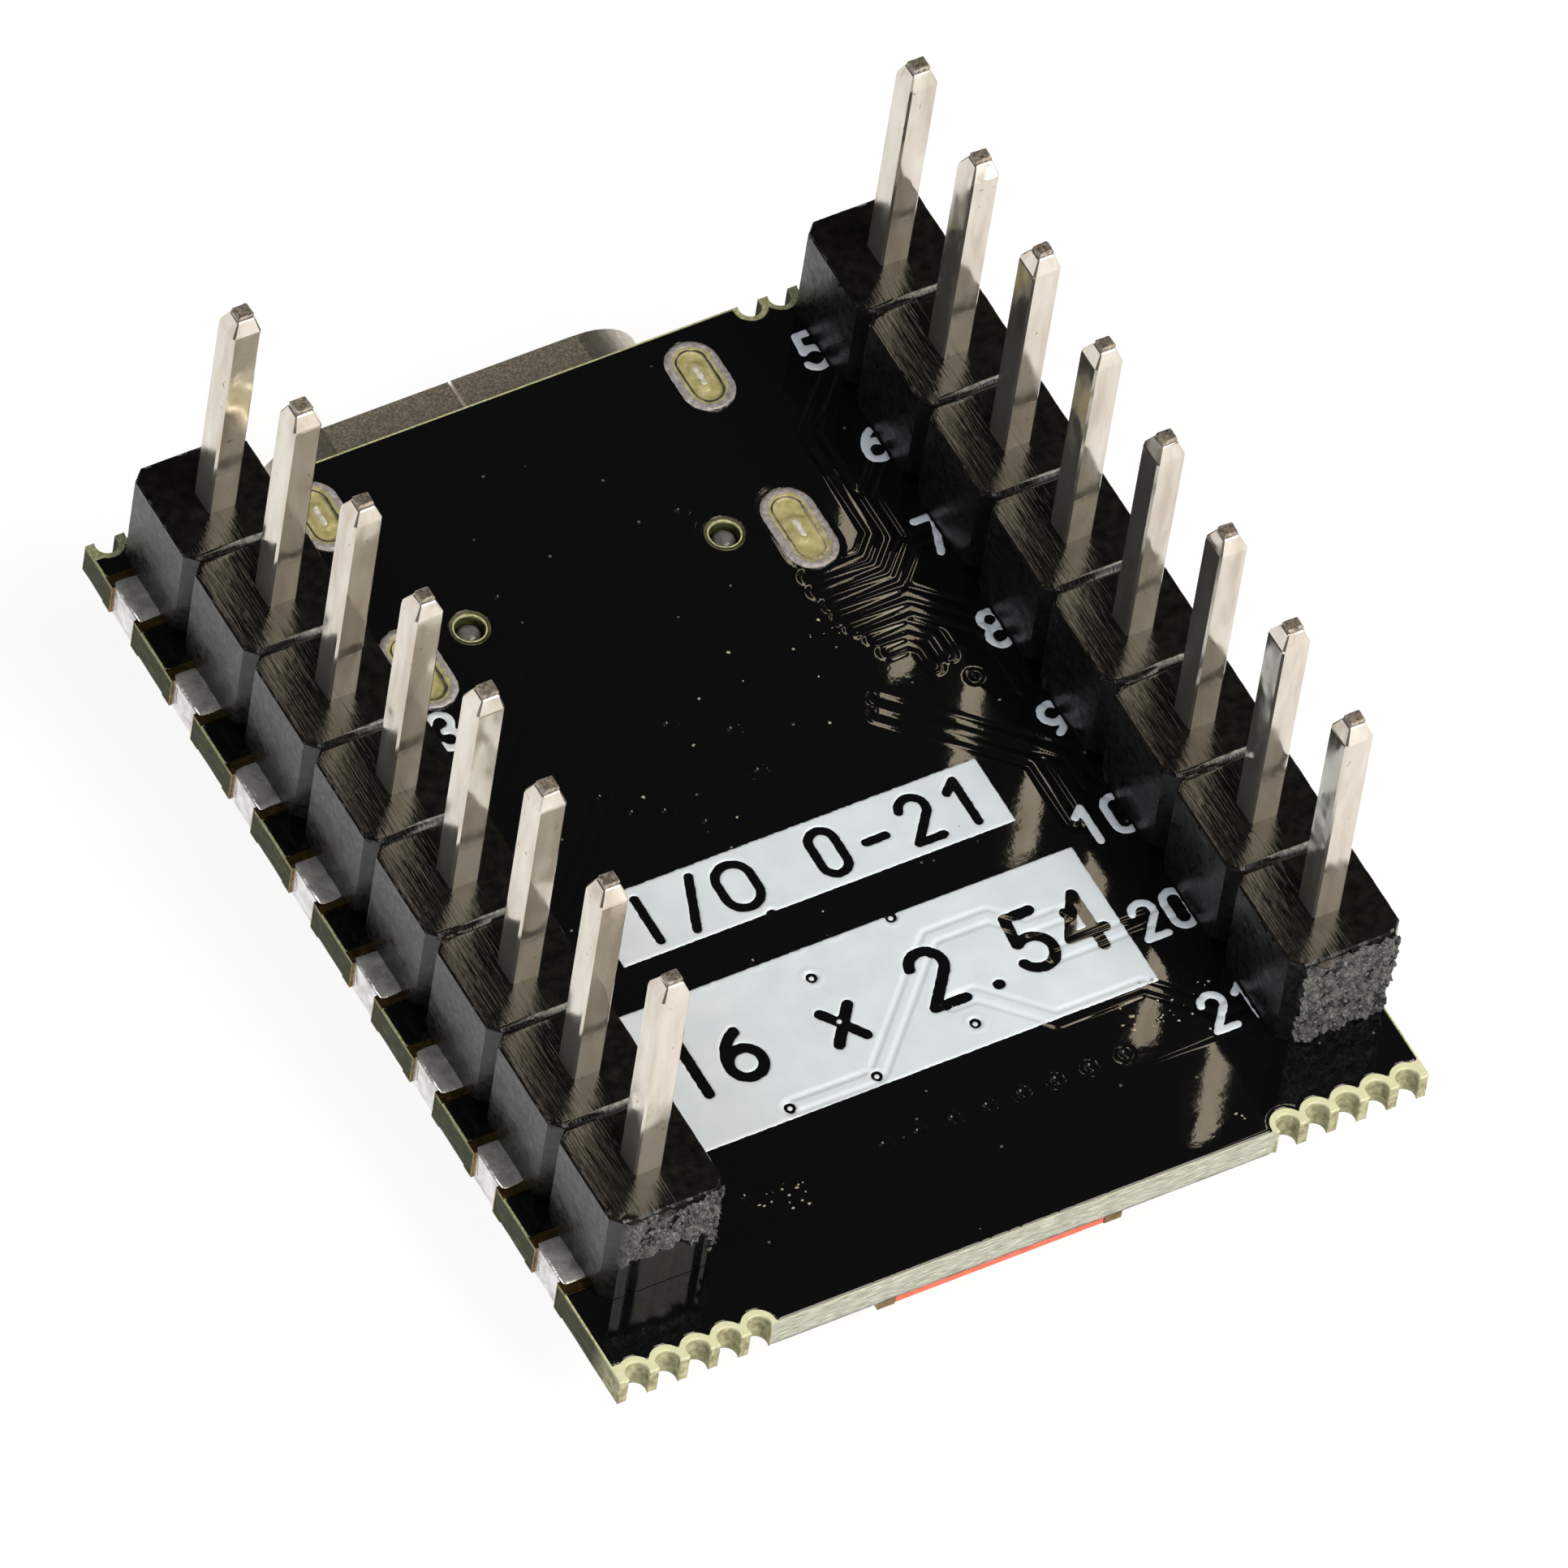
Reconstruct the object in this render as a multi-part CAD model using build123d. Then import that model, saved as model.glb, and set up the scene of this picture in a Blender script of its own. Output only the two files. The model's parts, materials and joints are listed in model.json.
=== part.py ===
from build123d import *
import os
from math import atan2, degrees, hypot, sqrt

# Microcontroller dev board with two soldered pin headers and a USB-C socket.
# Frame: the origin is the centre of the 2 x 8 pin grid on the board face that the headers stand on,
# +X across the board, +Y towards the USB socket, +Z the way the long pins point. Millimetres.

# ---- driving dimensions ----
PITCH = 2.54
PINS_PER_ROW = 8
ROW_X = 7.62
BOARD_W, BOARD_L, BOARD_T = 18.2, 22.45, 0.8
BOARD_X, BOARD_Y = -0.35, -0.72          # board centre, seen from the pin grid's centre
LAYER = 0.04                             # copper and solder mask, one layer on each face
INK = 0.02
MASK_INSET, BITE_RIM = 0.04, 0.12        # bare board between the mask and the edge, and round the bites
PLATING = 0.03

HOUSING_H, HOUSING_W, HOUSING_NOTCH, SCORE = 2.54, 2.54, 0.25, 0.18
PIN_SIDE, PIN_ABOVE, PIN_TAIL, PIN_TAPER = 0.64, 6.0, 3.0, 0.40

PIN_HOLE_R, EDGE_HOLE_R, PAD_R = 0.50, 0.45, 0.75
BITE_R, BITE_PITCH, BITE_FIRST_X, BITE_COUNT, BITE_SET_IN = 0.25, 0.68, 5.95, 5, 0.10
VIA_R = 0.15

USB_X, USB_MOUTH_Y = -0.50, 11.70
USB_W, USB_H, USB_L, USB_WALL = 8.94, 3.16, 7.35, 0.30
USB_LEG_X, USB_LEG_T = 4.32, 0.30
USB_FRONT_LEG = (9.25, 0.90, 1.80)       # y, width of the leg, length of its pad
USB_REAR_LEG = (5.07, 1.20, 2.10)
USB_PEG_X, USB_PEG_Y, USB_PEG_R, USB_PEG_HOLE_R, PEG_HOLE_RIM = 2.89, 5.57, 0.25, 0.325, 0.10
TONGUE_W, TONGUE_T, TONGUE_SET_BACK = 6.69, 0.70, 0.75

BUTTON_W, BUTTON_L, BUTTON_BASE_H, BUTTON_COVER_T = 2.60, 3.00, 1.10, 0.20
BUTTON_STEM_R, BUTTON_FLANGE_R, BUTTON_WELL_R = 0.68, 0.95, 1.05
BOOT_BUTTON, RESET_BUTTON = (-4.55, 0.75), (3.95, 0.75)

CHIP_SIDE, CHIP_H, CHIP_AT = 5.0, 0.85, (-0.50, -4.60)
REGULATOR_AT, DIODE_AT = (-0.50, 0.80), (1.75, 0.60)
CRYSTAL_AT = (4.30, -4.60)
ANTENNA_AT, ANTENNA_SIZE = (-0.70, -10.75), (5.50, 2.00, 0.50)

# ---- levels ----
BOTTOM = -BOARD_T                        # face that carries the components
HOLE_YS = [((PINS_PER_ROW - 1) / 2 - i) * PITCH for i in range(PINS_PER_ROW)]
BOARD_LEFT, BOARD_RIGHT = BOARD_X - BOARD_W / 2, BOARD_X + BOARD_W / 2
BOARD_FRONT, BOARD_BACK = BOARD_Y - BOARD_L / 2, BOARD_Y + BOARD_L / 2
USB_Z = BOTTOM - USB_H / 2
USB_REAR_Y = USB_MOUTH_Y - USB_L
BUTTON_TOP = BOTTOM - BUTTON_BASE_H

# ---- small parts of the component side: centre x, centre y, turned a quarter ----
CAPACITORS = [(-2.10, -1.20, False), (-0.50, -1.20, False), (1.10, -1.20, False), (3.55, -2.20, True),
              (5.05, -2.20, True), (2.48, -5.60, True), (-3.60, -3.60, True), (-2.55, 0.70, True),
              (0.75, -8.10, True)]
RESISTORS = [(-5.00, -3.00, False), (-5.00, -5.30, False), (-5.00, -6.50, False), (-5.00, -7.60, False),
             (4.30, -7.40, False)]
LEDS = [(-5.00, -1.85), (-5.00, -4.15)]
INDUCTOR_AT = (-0.70, -8.50)

# ---- vias, tented by the mask ----
VIAS = [(-0.94, 1.79), (0.17, 1.16), (0.17, 0.04), (-3.02, 0.74), (-2.62, 0.14), (-2.00, -0.09),
        (-1.38, -0.66), (-2.52, 5.95), (1.82, 6.40), (-0.41, -4.03), (-1.28, -4.03), (-2.19, -4.03),
        (-3.32, -4.03), (0.82, -4.21), (-1.29, -3.17), (-1.33, -4.87), (1.10, -7.18), (-1.30, -7.51),
        (-3.24, -7.49), (4.04, -5.52), (-1.33, -6.02), (5.23, 0.36)]
VIA_FENCE_Y, VIA_FENCE_X, VIA_FENCE_PITCH, VIA_FENCE_GAP = -9.06, 3.45, 0.775, (8, 9, 10)
VIA_FENCE_COUNT = 13

# ---- copper of the pin side: a ground pour with traces in it, each between two clear grooves ----
COPPER_T, TRACE_W, TRACE_GAP = 0.02, 0.18, 0.14
POUR_FRONT_Y, POUR_INSET = -9.45, 0.35   # no copper in front of the via fence, beside the antenna
TRACES = [
    [(3.40, 3.88), (4.65, 3.88), (5.12, 4.35), (5.12, 7.10), (7.00, 8.89)],
    [(3.40, 3.50), (4.84, 3.50), (5.42, 4.08), (5.42, 5.20), (6.57, 6.35), (7.00, 6.35)],
    [(3.50, 3.12), (4.98, 3.12), (5.67, 3.81), (7.00, 3.81)],
    [(3.50, 2.75), (5.00, 2.75), (6.48, 1.27), (7.00, 1.27)],
    [(3.60, 2.38), (4.90, 2.38), (5.55, 1.73), (5.95, 1.33), (5.95, -0.35), (6.87, -1.27)],
    [(3.85, 2.00), (4.60, 2.00), (5.00, 1.60), (5.00, 1.05)],
    [(3.95, 1.62), (4.40, 1.62), (4.62, 1.40), (4.62, 0.90)],
    [(3.20, 0.70), (6.00, -2.10), (6.00, -2.94), (6.87, -3.81)],
    [(3.00, 0.32), (5.30, -1.98), (5.30, -3.60)],
    [(-3.24, -7.49), (-1.30, -7.51), (0.98, -5.23), (1.30, -4.95), (2.60, -4.95), (3.17, -5.52),
     (4.04, -5.52)],
    [(0.90, -6.55), (1.45, -6.55), (2.65, -7.75), (4.60, -7.75), (5.74, -8.89), (7.00, -8.89)],
    [(3.40, -6.35), (7.00, -6.35)],
    [(-2.52, 5.95), (-2.52, 4.30), (-5.20, 1.62), (-5.20, 1.27), (-7.00, 1.27)],
    [(-3.02, 0.74), (-5.03, -1.27), (-7.00, -1.27)],
    [(-5.10, -2.60), (-6.31, -3.81), (-7.00, -3.81)],
]

# ---- legend ----
BLOCK_A = (-4.60, 4.25, -3.12, -1.43)    # x0, x1, y0, y1 of the upper white block
BLOCK_B = (-5.75, 4.95, -7.75, -4.15)
STROKE = 0.17
SIDE_NUMBERS = ["5", "6", "7", "8", "9", "10", "20", "21"]
SIDE_NUMBER_XS = [6.20, 6.20, 6.20, 6.20, 6.20, 5.88, 5.82, 5.98]


# ---- helpers ----
def rect(x0, x1, y0, y1):
    return Pos((x0 + x1) / 2, (y0 + y1) / 2) * Rectangle(x1 - x0, y1 - y0)


def disc(x, y, radius):
    return Pos(x, y) * Circle(radius)


def slot(x, y, width, length):
    """A round-ended slot, long along Y."""
    return Pos(x, y) * Rot(0, 0, 90) * SlotOverall(length, width)


def plate(sketch, z0, z1):
    return extrude(Pos(0, 0, z0) * sketch, z1 - z0)


def block(x0, x1, y0, y1, z0, z1):
    return Pos((x0 + x1) / 2, (y0 + y1) / 2, (z0 + z1) / 2) * Box(x1 - x0, y1 - y0, z1 - z0)


def centred(x, y, width, length, z0, z1):
    return block(x - width / 2, x + width / 2, y - length / 2, y + length / 2, z0, z1)


def rod(x, y, radius, z0, z1):
    return Pos(x, y, (z0 + z1) / 2) * Cylinder(radius, z1 - z0)


def joined(shapes):
    first, *rest = shapes
    return first + rest if rest else first


def group(shapes):
    solids = [solid for shape in shapes for solid in shape.solids()]
    return Compound(children=solids) if len(solids) > 1 else solids[0]


def both_faces(sketch):
    """The two copper layers of a pad that goes through the board."""
    return [plate(sketch, -LAYER, 0), plate(sketch, BOTTOM, BOTTOM + LAYER)]


# ---- outlines shared by the core, the masks and the plating ----
def board_outline(inset, hole_growth):
    """The board's outline with the bites left by the panel's perforation."""
    outline = rect(BOARD_LEFT + inset, BOARD_RIGHT - inset, BOARD_FRONT + inset, BOARD_BACK - inset)
    bites = []
    for end_y in (BOARD_FRONT + BITE_SET_IN, BOARD_BACK - BITE_SET_IN):
        for side in (-1, 1):
            for i in range(BITE_COUNT):
                x = BOARD_X + side * (BITE_FIRST_X + i * BITE_PITCH)
                bites.append(disc(x, end_y, BITE_R + hole_growth))
    return outline - bites


def edge_holes(radius):
    return [disc(x, y, radius) for x in (BOARD_LEFT, BOARD_RIGHT) for y in HOLE_YS]


def pin_holes(radius):
    return [disc(x, y, radius) for x in (-ROW_X, ROW_X) for y in HOLE_YS]


def leg_slots(grow):
    """The four slots of the USB legs: grow 0 gives the finished slot."""
    slots = []
    for y, leg_width, _ in (USB_FRONT_LEG, USB_REAR_LEG):
        for side in (-1, 1):
            slots.append(slot(USB_X + side * USB_LEG_X, y, 0.6 + 2 * grow, leg_width + 0.4 + 2 * grow))
    return slots


def leg_pads():
    return [slot(USB_X + side * USB_LEG_X, y, 1.0, pad_length)
            for y, _, pad_length in (USB_FRONT_LEG, USB_REAR_LEG) for side in (-1, 1)]


def peg_holes(radius):
    return [disc(USB_X + side * USB_PEG_X, USB_PEG_Y, radius) for side in (-1, 1)]


def pin_pad(side, y):
    """The pad that runs from a pin hole out to the half-hole at the board's edge."""
    edge = BOARD_LEFT if side < 0 else BOARD_RIGHT
    inner = disc(side * ROW_X, y, PAD_R)
    strip = rect(min(side * ROW_X, edge), max(side * ROW_X, edge), y - PAD_R, y + PAD_R)
    return inner + strip


def via_places():
    fence = [(VIA_FENCE_X - i * VIA_FENCE_PITCH, VIA_FENCE_Y)
             for i in range(VIA_FENCE_COUNT) if i not in VIA_FENCE_GAP]
    return VIAS + fence


# ---- board ----
def board_core():
    outline = board_outline(0, 0)
    outline -= edge_holes(EDGE_HOLE_R + PLATING) + pin_holes(PIN_HOLE_R + PLATING)
    outline -= leg_slots(PLATING) + peg_holes(USB_PEG_HOLE_R)
    outline -= [disc(x, y, VIA_R) for x, y in via_places()]
    return plate(outline, BOTTOM + LAYER, -LAYER)


def mask_outline():
    """Open at the pads, round the peg holes and at the four bitten corners."""
    pads = [pin_pad(side, y) for side in (-1, 1) for y in HOLE_YS]
    last_bite = BITE_FIRST_X + (BITE_COUNT - 1) * BITE_PITCH
    corners = [rect(*sorted((BOARD_X + side * last_bite, BOARD_X + side * BOARD_W)), y - 0.4, y + 0.4)
               for side in (-1, 1) for y in (BOARD_FRONT, BOARD_BACK)]
    openings = pads + leg_pads() + peg_holes(USB_PEG_HOLE_R + PEG_HOLE_RIM) + corners
    return board_outline(MASK_INSET, BITE_RIM) - openings


def trace(points, width):
    return joined([line_stroke(*start, *end, width) for start, end in zip(points, points[1:])])


def pin_side_copper():
    """The pour, kept clear of pads, holes and traces, and the traces in their grooves."""
    pads = [pin_pad(side, y) for side in (-1, 1) for y in HOLE_YS]
    clear_of_pads = [disc(side * ROW_X, y, PAD_R + TRACE_GAP) for side in (-1, 1) for y in HOLE_YS]
    clear_of_pads += [rect(*sorted((side * ROW_X, side * 10)), y - PAD_R - TRACE_GAP, y + PAD_R + TRACE_GAP)
                      for side in (-1, 1) for y in HOLE_YS]
    clear_of_legs = [slot(USB_X + side * USB_LEG_X, y, 1.0 + 2 * TRACE_GAP, pad_length + 2 * TRACE_GAP)
                     for y, _, pad_length in (USB_FRONT_LEG, USB_REAR_LEG) for side in (-1, 1)]
    pour = rect(BOARD_LEFT + POUR_INSET, BOARD_RIGHT - POUR_INSET, POUR_FRONT_Y, BOARD_BACK - POUR_INSET)
    pour -= [trace(points, TRACE_W + 2 * TRACE_GAP) for points in TRACES]
    pour -= clear_of_pads + clear_of_legs + peg_holes(USB_PEG_HOLE_R + 0.30)
    return pour, joined([trace(points, TRACE_W) for points in TRACES]) - pads


def copper_pin_side():
    return group([plate(face, -LAYER, COPPER_T - LAYER) for face in pin_side_copper()])


def solder_mask_pin_side():
    """Flat on top, and filling the grooves between the copper shapes under it."""
    outline = mask_outline()
    grooves = outline - list(pin_side_copper())
    return plate(outline, COPPER_T - LAYER, 0) + plate(grooves, -LAYER, COPPER_T - LAYER)


def solder_mask_component_side():
    return plate(mask_outline() - [rect(*pad) for pad in component_pads()], BOTTOM, BOTTOM + LAYER)


def plated_pin_pads():
    pieces = []
    for side in (-1, 1):
        edge = BOARD_LEFT if side < 0 else BOARD_RIGHT
        for y in HOLE_YS:
            face = pin_pad(side, y) - disc(side * ROW_X, y, PIN_HOLE_R) - disc(edge, y, EDGE_HOLE_R)
            pin_wall = disc(side * ROW_X, y, PIN_HOLE_R + PLATING) - disc(side * ROW_X, y, PIN_HOLE_R)
            inside = rect(BOARD_LEFT, BOARD_RIGHT, y - 1, y + 1)
            edge_wall = (disc(edge, y, EDGE_HOLE_R + PLATING) - disc(edge, y, EDGE_HOLE_R)) & inside
            walls = [plate(pin_wall, BOTTOM, 0), plate(edge_wall, BOTTOM, 0)]
            pieces.append(joined(both_faces(face) + walls))
    return group(pieces)


def plated_usb_slots():
    pieces = []
    for pad, hole, wall in zip(leg_pads(), leg_slots(0), leg_slots(PLATING)):
        pieces.append(joined(both_faces(pad - hole) + [plate(wall - hole, BOTTOM, 0)]))
    return group(pieces)


def via_barrels():
    return group([rod(x, y, VIA_R, BOTTOM + LAYER, -LAYER) for x, y in via_places()])


def edge_solder():
    """Solder that fills each edge half-hole, a little hollow at the routed edge."""
    pieces = []
    for edge, inward in ((BOARD_LEFT, 1), (BOARD_RIGHT, -1)):
        for y in HOLE_YS:
            window = rect(edge - 1, edge + 1, y - 1, y + 1)
            kept = window - rect(*sorted((edge - inward, edge + inward * 0.06)), y - 1, y + 1)
            pieces.append(plate(disc(edge, y, EDGE_HOLE_R) & kept, BOTTOM, 0))
    return group(pieces)


# ---- legend ink, drawn with round-ended strokes ----
def glyph_strokes(mark):
    """Strokes of one mark in a cell 0.6 wide and 1 high: ("line", x0, y0, x1, y1) or
    ("arc", centre x, centre y, radius, start degrees, swept degrees)."""
    top, mid = 0.70, 0.30
    marks = {
        "0": [("arc", 0.3, 0.72, 0.22, 0, 180), ("arc", 0.3, 0.28, 0.22, 180, 180),
              ("line", 0.08, 0.28, 0.08, 0.72), ("line", 0.52, 0.28, 0.52, 0.72)],
        "1": [("line", 0.34, 0.06, 0.34, 0.94), ("line", 0.34, 0.94, 0.14, 0.76)],
        "2": [("arc", 0.3, top, 0.23, -35, 205), ("line", 0.49, 0.57, 0.08, 0.06),
              ("line", 0.08, 0.06, 0.53, 0.06)],
        "3": [("arc", 0.28, 0.71, 0.22, -90, 250), ("arc", 0.28, 0.28, 0.22, 200, 250)],
        "4": [("line", 0.42, 0.06, 0.42, 0.94), ("line", 0.42, 0.94, 0.06, 0.32),
              ("line", 0.06, 0.32, 0.56, 0.32)],
        "5": [("line", 0.50, 0.94, 0.14, 0.94), ("line", 0.14, 0.94, 0.10, 0.52),
              ("arc", 0.27, 0.32, 0.25, 205, 285)],
        "6": [("arc", 0.3, mid, 0.23, 0, 360), ("arc", 0.62, mid, 0.55, 116, 64)],
        "7": [("line", 0.08, 0.94, 0.52, 0.94), ("line", 0.52, 0.94, 0.22, 0.06)],
        "8": [("arc", 0.3, 0.72, 0.20, 0, 360), ("arc", 0.3, 0.28, 0.23, 0, 360)],
        "9": [("arc", 0.3, top, 0.23, 0, 360), ("arc", -0.02, top, 0.55, -64, 64)],
        "I": [("line", 0.30, 0.06, 0.30, 0.94)],
        "O": [("arc", 0.3, 0.64, 0.30, 0, 180), ("arc", 0.3, 0.36, 0.30, 180, 180),
              ("line", 0.0, 0.36, 0.0, 0.64), ("line", 0.60, 0.36, 0.60, 0.64)],
        "/": [("line", 0.12, 0.02, 0.48, 0.98)],
        "-": [("line", 0.12, 0.42, 0.48, 0.42)],
        "x": [("line", 0.10, 0.06, 0.50, 0.58), ("line", 0.10, 0.58, 0.50, 0.06)],
        ".": [("line", 0.29, 0.06, 0.31, 0.06)],
        " ": [],
    }
    return marks[mark]


def line_stroke(x0, y0, x1, y1, width):
    angle = degrees(atan2(y1 - y0, x1 - x0))
    length = hypot(x1 - x0, y1 - y0)
    return Pos((x0 + x1) / 2, (y0 + y1) / 2) * Rot(0, 0, angle) * SlotCenterToCenter(length, width)


def arc_stroke(x, y, radius, start, sweep, width):
    if sweep == 360:
        return disc(x, y, radius + width / 2) - disc(x, y, radius - width / 2)
    return SlotArc(CenterArc((x, y), radius, start, sweep), width)


def glyph(mark, height, width):
    """One mark as a list of faces, its lower left corner at the origin."""
    faces = []
    for kind, *values in glyph_strokes(mark):
        if kind == "line":
            faces.append(line_stroke(*[value * height for value in values], width))
        else:
            x, y, radius = (value * height for value in values[:3])
            faces.append(arc_stroke(x, y, radius, *values[3:], width))
    return faces


def text_faces(text, x, y, height, width, advance):
    """A line of marks centred on x, y."""
    left = x - advance * len(text) / 2 + (advance - 0.6 * height) / 2
    faces = []
    for i, mark in enumerate(text):
        place = Pos(left + i * advance, y - height / 2)
        faces += [place * face for face in glyph(mark, height, width)]
    return faces


def pin_numbers():
    faces = []
    for label, x, y in zip(SIDE_NUMBERS, SIDE_NUMBER_XS, HOLE_YS):
        faces += text_faces(label, x, y, 1.0, STROKE, 0.71)
    return faces + text_faces("3", -5.06, HOLE_YS[2] - 0.32, 1.0, STROKE, 0.71)


def legend_pin_side():
    upper = rect(*BLOCK_A) - text_faces("I/O 0-21", -0.05, -2.28, 1.25, 0.20, 1.02)
    lower = rect(*BLOCK_B) - text_faces("16 x 2.54", -0.20, -5.85, 1.55, 0.24, 1.10)
    holes = [disc(x, y, 0.12) for x, y in via_places()]
    clear_of_housing = ROW_X - HOUSING_W / 2 - 0.02
    open_strip = rect(-clear_of_housing, clear_of_housing, BOARD_FRONT, BOARD_BACK)
    printed = (joined([upper, lower] + pin_numbers()) - holes) & open_strip
    return group([plate(printed, 0, INK)])


def legend_component_side():
    """Numbers beside the pads and an outline round the processor, read from the component side."""
    faces = []
    for label, y in zip(SIDE_NUMBERS, HOLE_YS):
        faces += [Pos(6.15, y) * mirror(face, Plane.YZ) for face in text_faces(label, 0, 0, 0.7, 0.12, 0.5)]
    for label, y in zip("43210", HOLE_YS[3:]):
        faces += [Pos(-6.40, y) * mirror(face, Plane.YZ) for face in text_faces(label, 0, 0, 0.7, 0.12, 0.5)]
    half = CHIP_SIDE / 2 + 0.25
    cx, cy = CHIP_AT
    frame = rect(cx - half, cx + half, cy - half, cy + half)
    frame -= rect(cx - half + 0.12, cx + half - 0.12, cy - half + 0.12, cy + half - 0.12)
    gap = 2.1
    frame -= [rect(cx - gap, cx + gap, cy - half - 1, cy + half + 1),
              rect(cx - half - 1, cx + half + 1, cy - gap, cy + gap)]
    faces += [frame, disc(cx - half - 0.05, cy + half + 0.05, 0.14)]
    printed = joined(faces)
    return group([plate(printed, BOTTOM - INK, BOTTOM)])


# ---- headers ----
def header_housing(side):
    """Eight joined segments, octagonal in plan, with a score line across the top between two segments."""
    half_w, half_p, notch = HOUSING_W / 2, PITCH / 2, HOUSING_NOTCH * sqrt(2)
    foot_half, foot_h = 0.35, 0.15
    segments = []
    for y in HOLE_YS:
        cell = Pos(side * ROW_X, y) * Rectangle(HOUSING_W, PITCH)
        corners = [Pos(side * ROW_X + sx * half_w, y + sy * half_p) * Rot(0, 0, 45) * Rectangle(notch, notch)
                   for sx in (-1, 1) for sy in (-1, 1)]
        hole = Pos(side * ROW_X, y) * Rectangle(PIN_SIDE, PIN_SIDE)
        segments.append(cell - corners - hole)
    body = plate(joined(segments), 0, HOUSING_H)
    scores = [Pos(side * ROW_X, y - half_p, HOUSING_H) * Rot(45, 0, 0) * Box(HOUSING_W, SCORE, SCORE)
              for y in HOLE_YS[:-1]]
    feet = [centred(side * ROW_X, y - half_p, HOUSING_W, 2 * foot_half, 0, foot_h) for y in HOLE_YS[:-1]]
    return body - scores - feet


def header_pin(x, y):
    """A square pin whose two ends taper to a small sheared square."""
    long_end, tail_end = HOUSING_H + PIN_ABOVE, -PIN_TAIL
    shaft = centred(x, y, PIN_SIDE, PIN_SIDE, tail_end + PIN_TAPER, long_end - PIN_TAPER)
    tip = loft([Pos(x, y, long_end - PIN_TAPER) * Rectangle(PIN_SIDE, PIN_SIDE),
                Pos(x, y, long_end) * Rectangle(0.34, 0.30)])
    tail = loft([Pos(x, y, tail_end) * Rectangle(0.34, 0.34),
                 Pos(x, y, tail_end + PIN_TAPER) * Rectangle(PIN_SIDE, PIN_SIDE)])
    return shaft + tip + tail


def header_pins(side):
    return group([header_pin(side * ROW_X, y) for y in HOLE_YS])


def header_solder(side):
    """Solder in each pin hole and its cone on the component side."""
    cone_h = 0.90
    joints = []
    for y in HOLE_YS:
        x = side * ROW_X
        fill = rod(x, y, PIN_HOLE_R, BOTTOM, -0.02)
        cone = Pos(x, y, BOTTOM - cone_h / 2) * Cone(0.48, PAD_R - 0.05, cone_h)
        joints.append(fill + cone - centred(x, y, PIN_SIDE, PIN_SIDE, -PIN_TAIL, 1))
    return group(joints)


# ---- USB-C socket ----
def stadium(width, height, y0, y1):
    section = Plane((USB_X, y0, USB_Z), x_dir=(1, 0, 0), z_dir=(0, 1, 0)) * SlotOverall(width, height)
    return extrude(section, y1 - y0)


def usb_shell():
    """A drawn tube with round ends, folded shut at the rear, a butt seam on its board side, four legs."""
    rear_wall, window_y = 0.20, USB_PEG_Y + 0.75
    tube = stadium(USB_W, USB_H, USB_REAR_Y, USB_MOUTH_Y)
    tube -= stadium(USB_W - 2 * USB_WALL, USB_H - 2 * USB_WALL, USB_REAR_Y + rear_wall, USB_MOUTH_Y + 1)
    tube -= block(USB_X - 3.6, USB_X + 3.6, USB_REAR_Y - 1, window_y, USB_Z + 1.05, BOTTOM + 1)
    tube -= block(USB_X - 0.03, USB_X + 0.03, window_y - 1, USB_MOUTH_Y + 1, USB_Z + 1.0, BOTTOM + 1)
    for y, leg_width, _ in (USB_FRONT_LEG, USB_REAR_LEG):
        for side in (-1, 1):
            x = USB_X + side * USB_LEG_X
            tube += centred(x, y, USB_LEG_T, leg_width, USB_Z, -0.12)
    inside = stadium(USB_W - 2 * USB_WALL, USB_H - 2 * USB_WALL, USB_REAR_Y + rear_wall, USB_MOUTH_Y + 1)
    return tube - inside


def contact(tongue_x, foot_x, z, drop_y, bury):
    """One spring contact: a strip on the tongue, a jog inside the moulding, a drop and a foot."""
    thick, strip_w, foot_w, jog_y, foot_reach, strip_end = 0.10, 0.25, 0.20, 5.60, 0.60, 1.35
    z0, z1 = sorted((z, z + bury * thick))
    half = foot_w / 2
    left, right = foot_x - half, foot_x + half
    strip = block(tongue_x - strip_w / 2, tongue_x + strip_w / 2, jog_y, USB_MOUTH_Y - strip_end, z0, z1)
    jog = block(min(tongue_x, foot_x) - half, max(tongue_x, foot_x) + half, jog_y, jog_y + foot_w, z0, z1)
    rear = block(left, right, drop_y, jog_y + foot_w, z0, z1)
    drop = block(left, right, drop_y, drop_y + thick, z0, BOTTOM)
    foot = block(left, right, USB_REAR_Y - foot_reach, drop_y + thick, BOTTOM - thick, BOTTOM)
    return joined([strip, jog, rear, drop, foot])


TONGUE_XS = [-2.75, -1.25, -0.75, -0.25, 0.25, 0.75, 1.25, 2.75]
OUTER_FEET_XS = [-3.33, -2.53, -1.25, -0.25, 0.25, 1.25, 2.53, 3.33]
INNER_FEET_XS = [-3.07, -2.27, -1.75, -0.75, 0.75, 1.75, 2.27, 3.07]


def usb_contacts_outer():
    """The row on the tongue's face away from the board."""
    z = USB_Z - TONGUE_T / 2
    return group([contact(USB_X + t, USB_X + f, z, 4.85, 1) for t, f in zip(TONGUE_XS, OUTER_FEET_XS)])


def usb_contacts_inner():
    """The row on the tongue's face towards the board."""
    z = USB_Z + TONGUE_T / 2
    return group([contact(USB_X + t, USB_X + f, z, 5.15, -1) for t, f in zip(TONGUE_XS, INNER_FEET_XS)])


def usb_mid_plate():
    """The steel plate in the middle of the tongue; its two ears are what a plug's latches grip."""
    z0, z1, half_width, ear_x, ear_w = USB_Z - 0.075, USB_Z + 0.075, 3.0, 3.15, 0.39
    plate_body = block(USB_X - half_width, USB_X + half_width, 6.2, USB_MOUTH_Y - 1.2, z0, z1)
    ears = [centred(USB_X + side * ear_x, 8.9, ear_w, 1.4, z0, z1) for side in (-1, 1)]
    return joined([plate_body] + ears)


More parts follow.
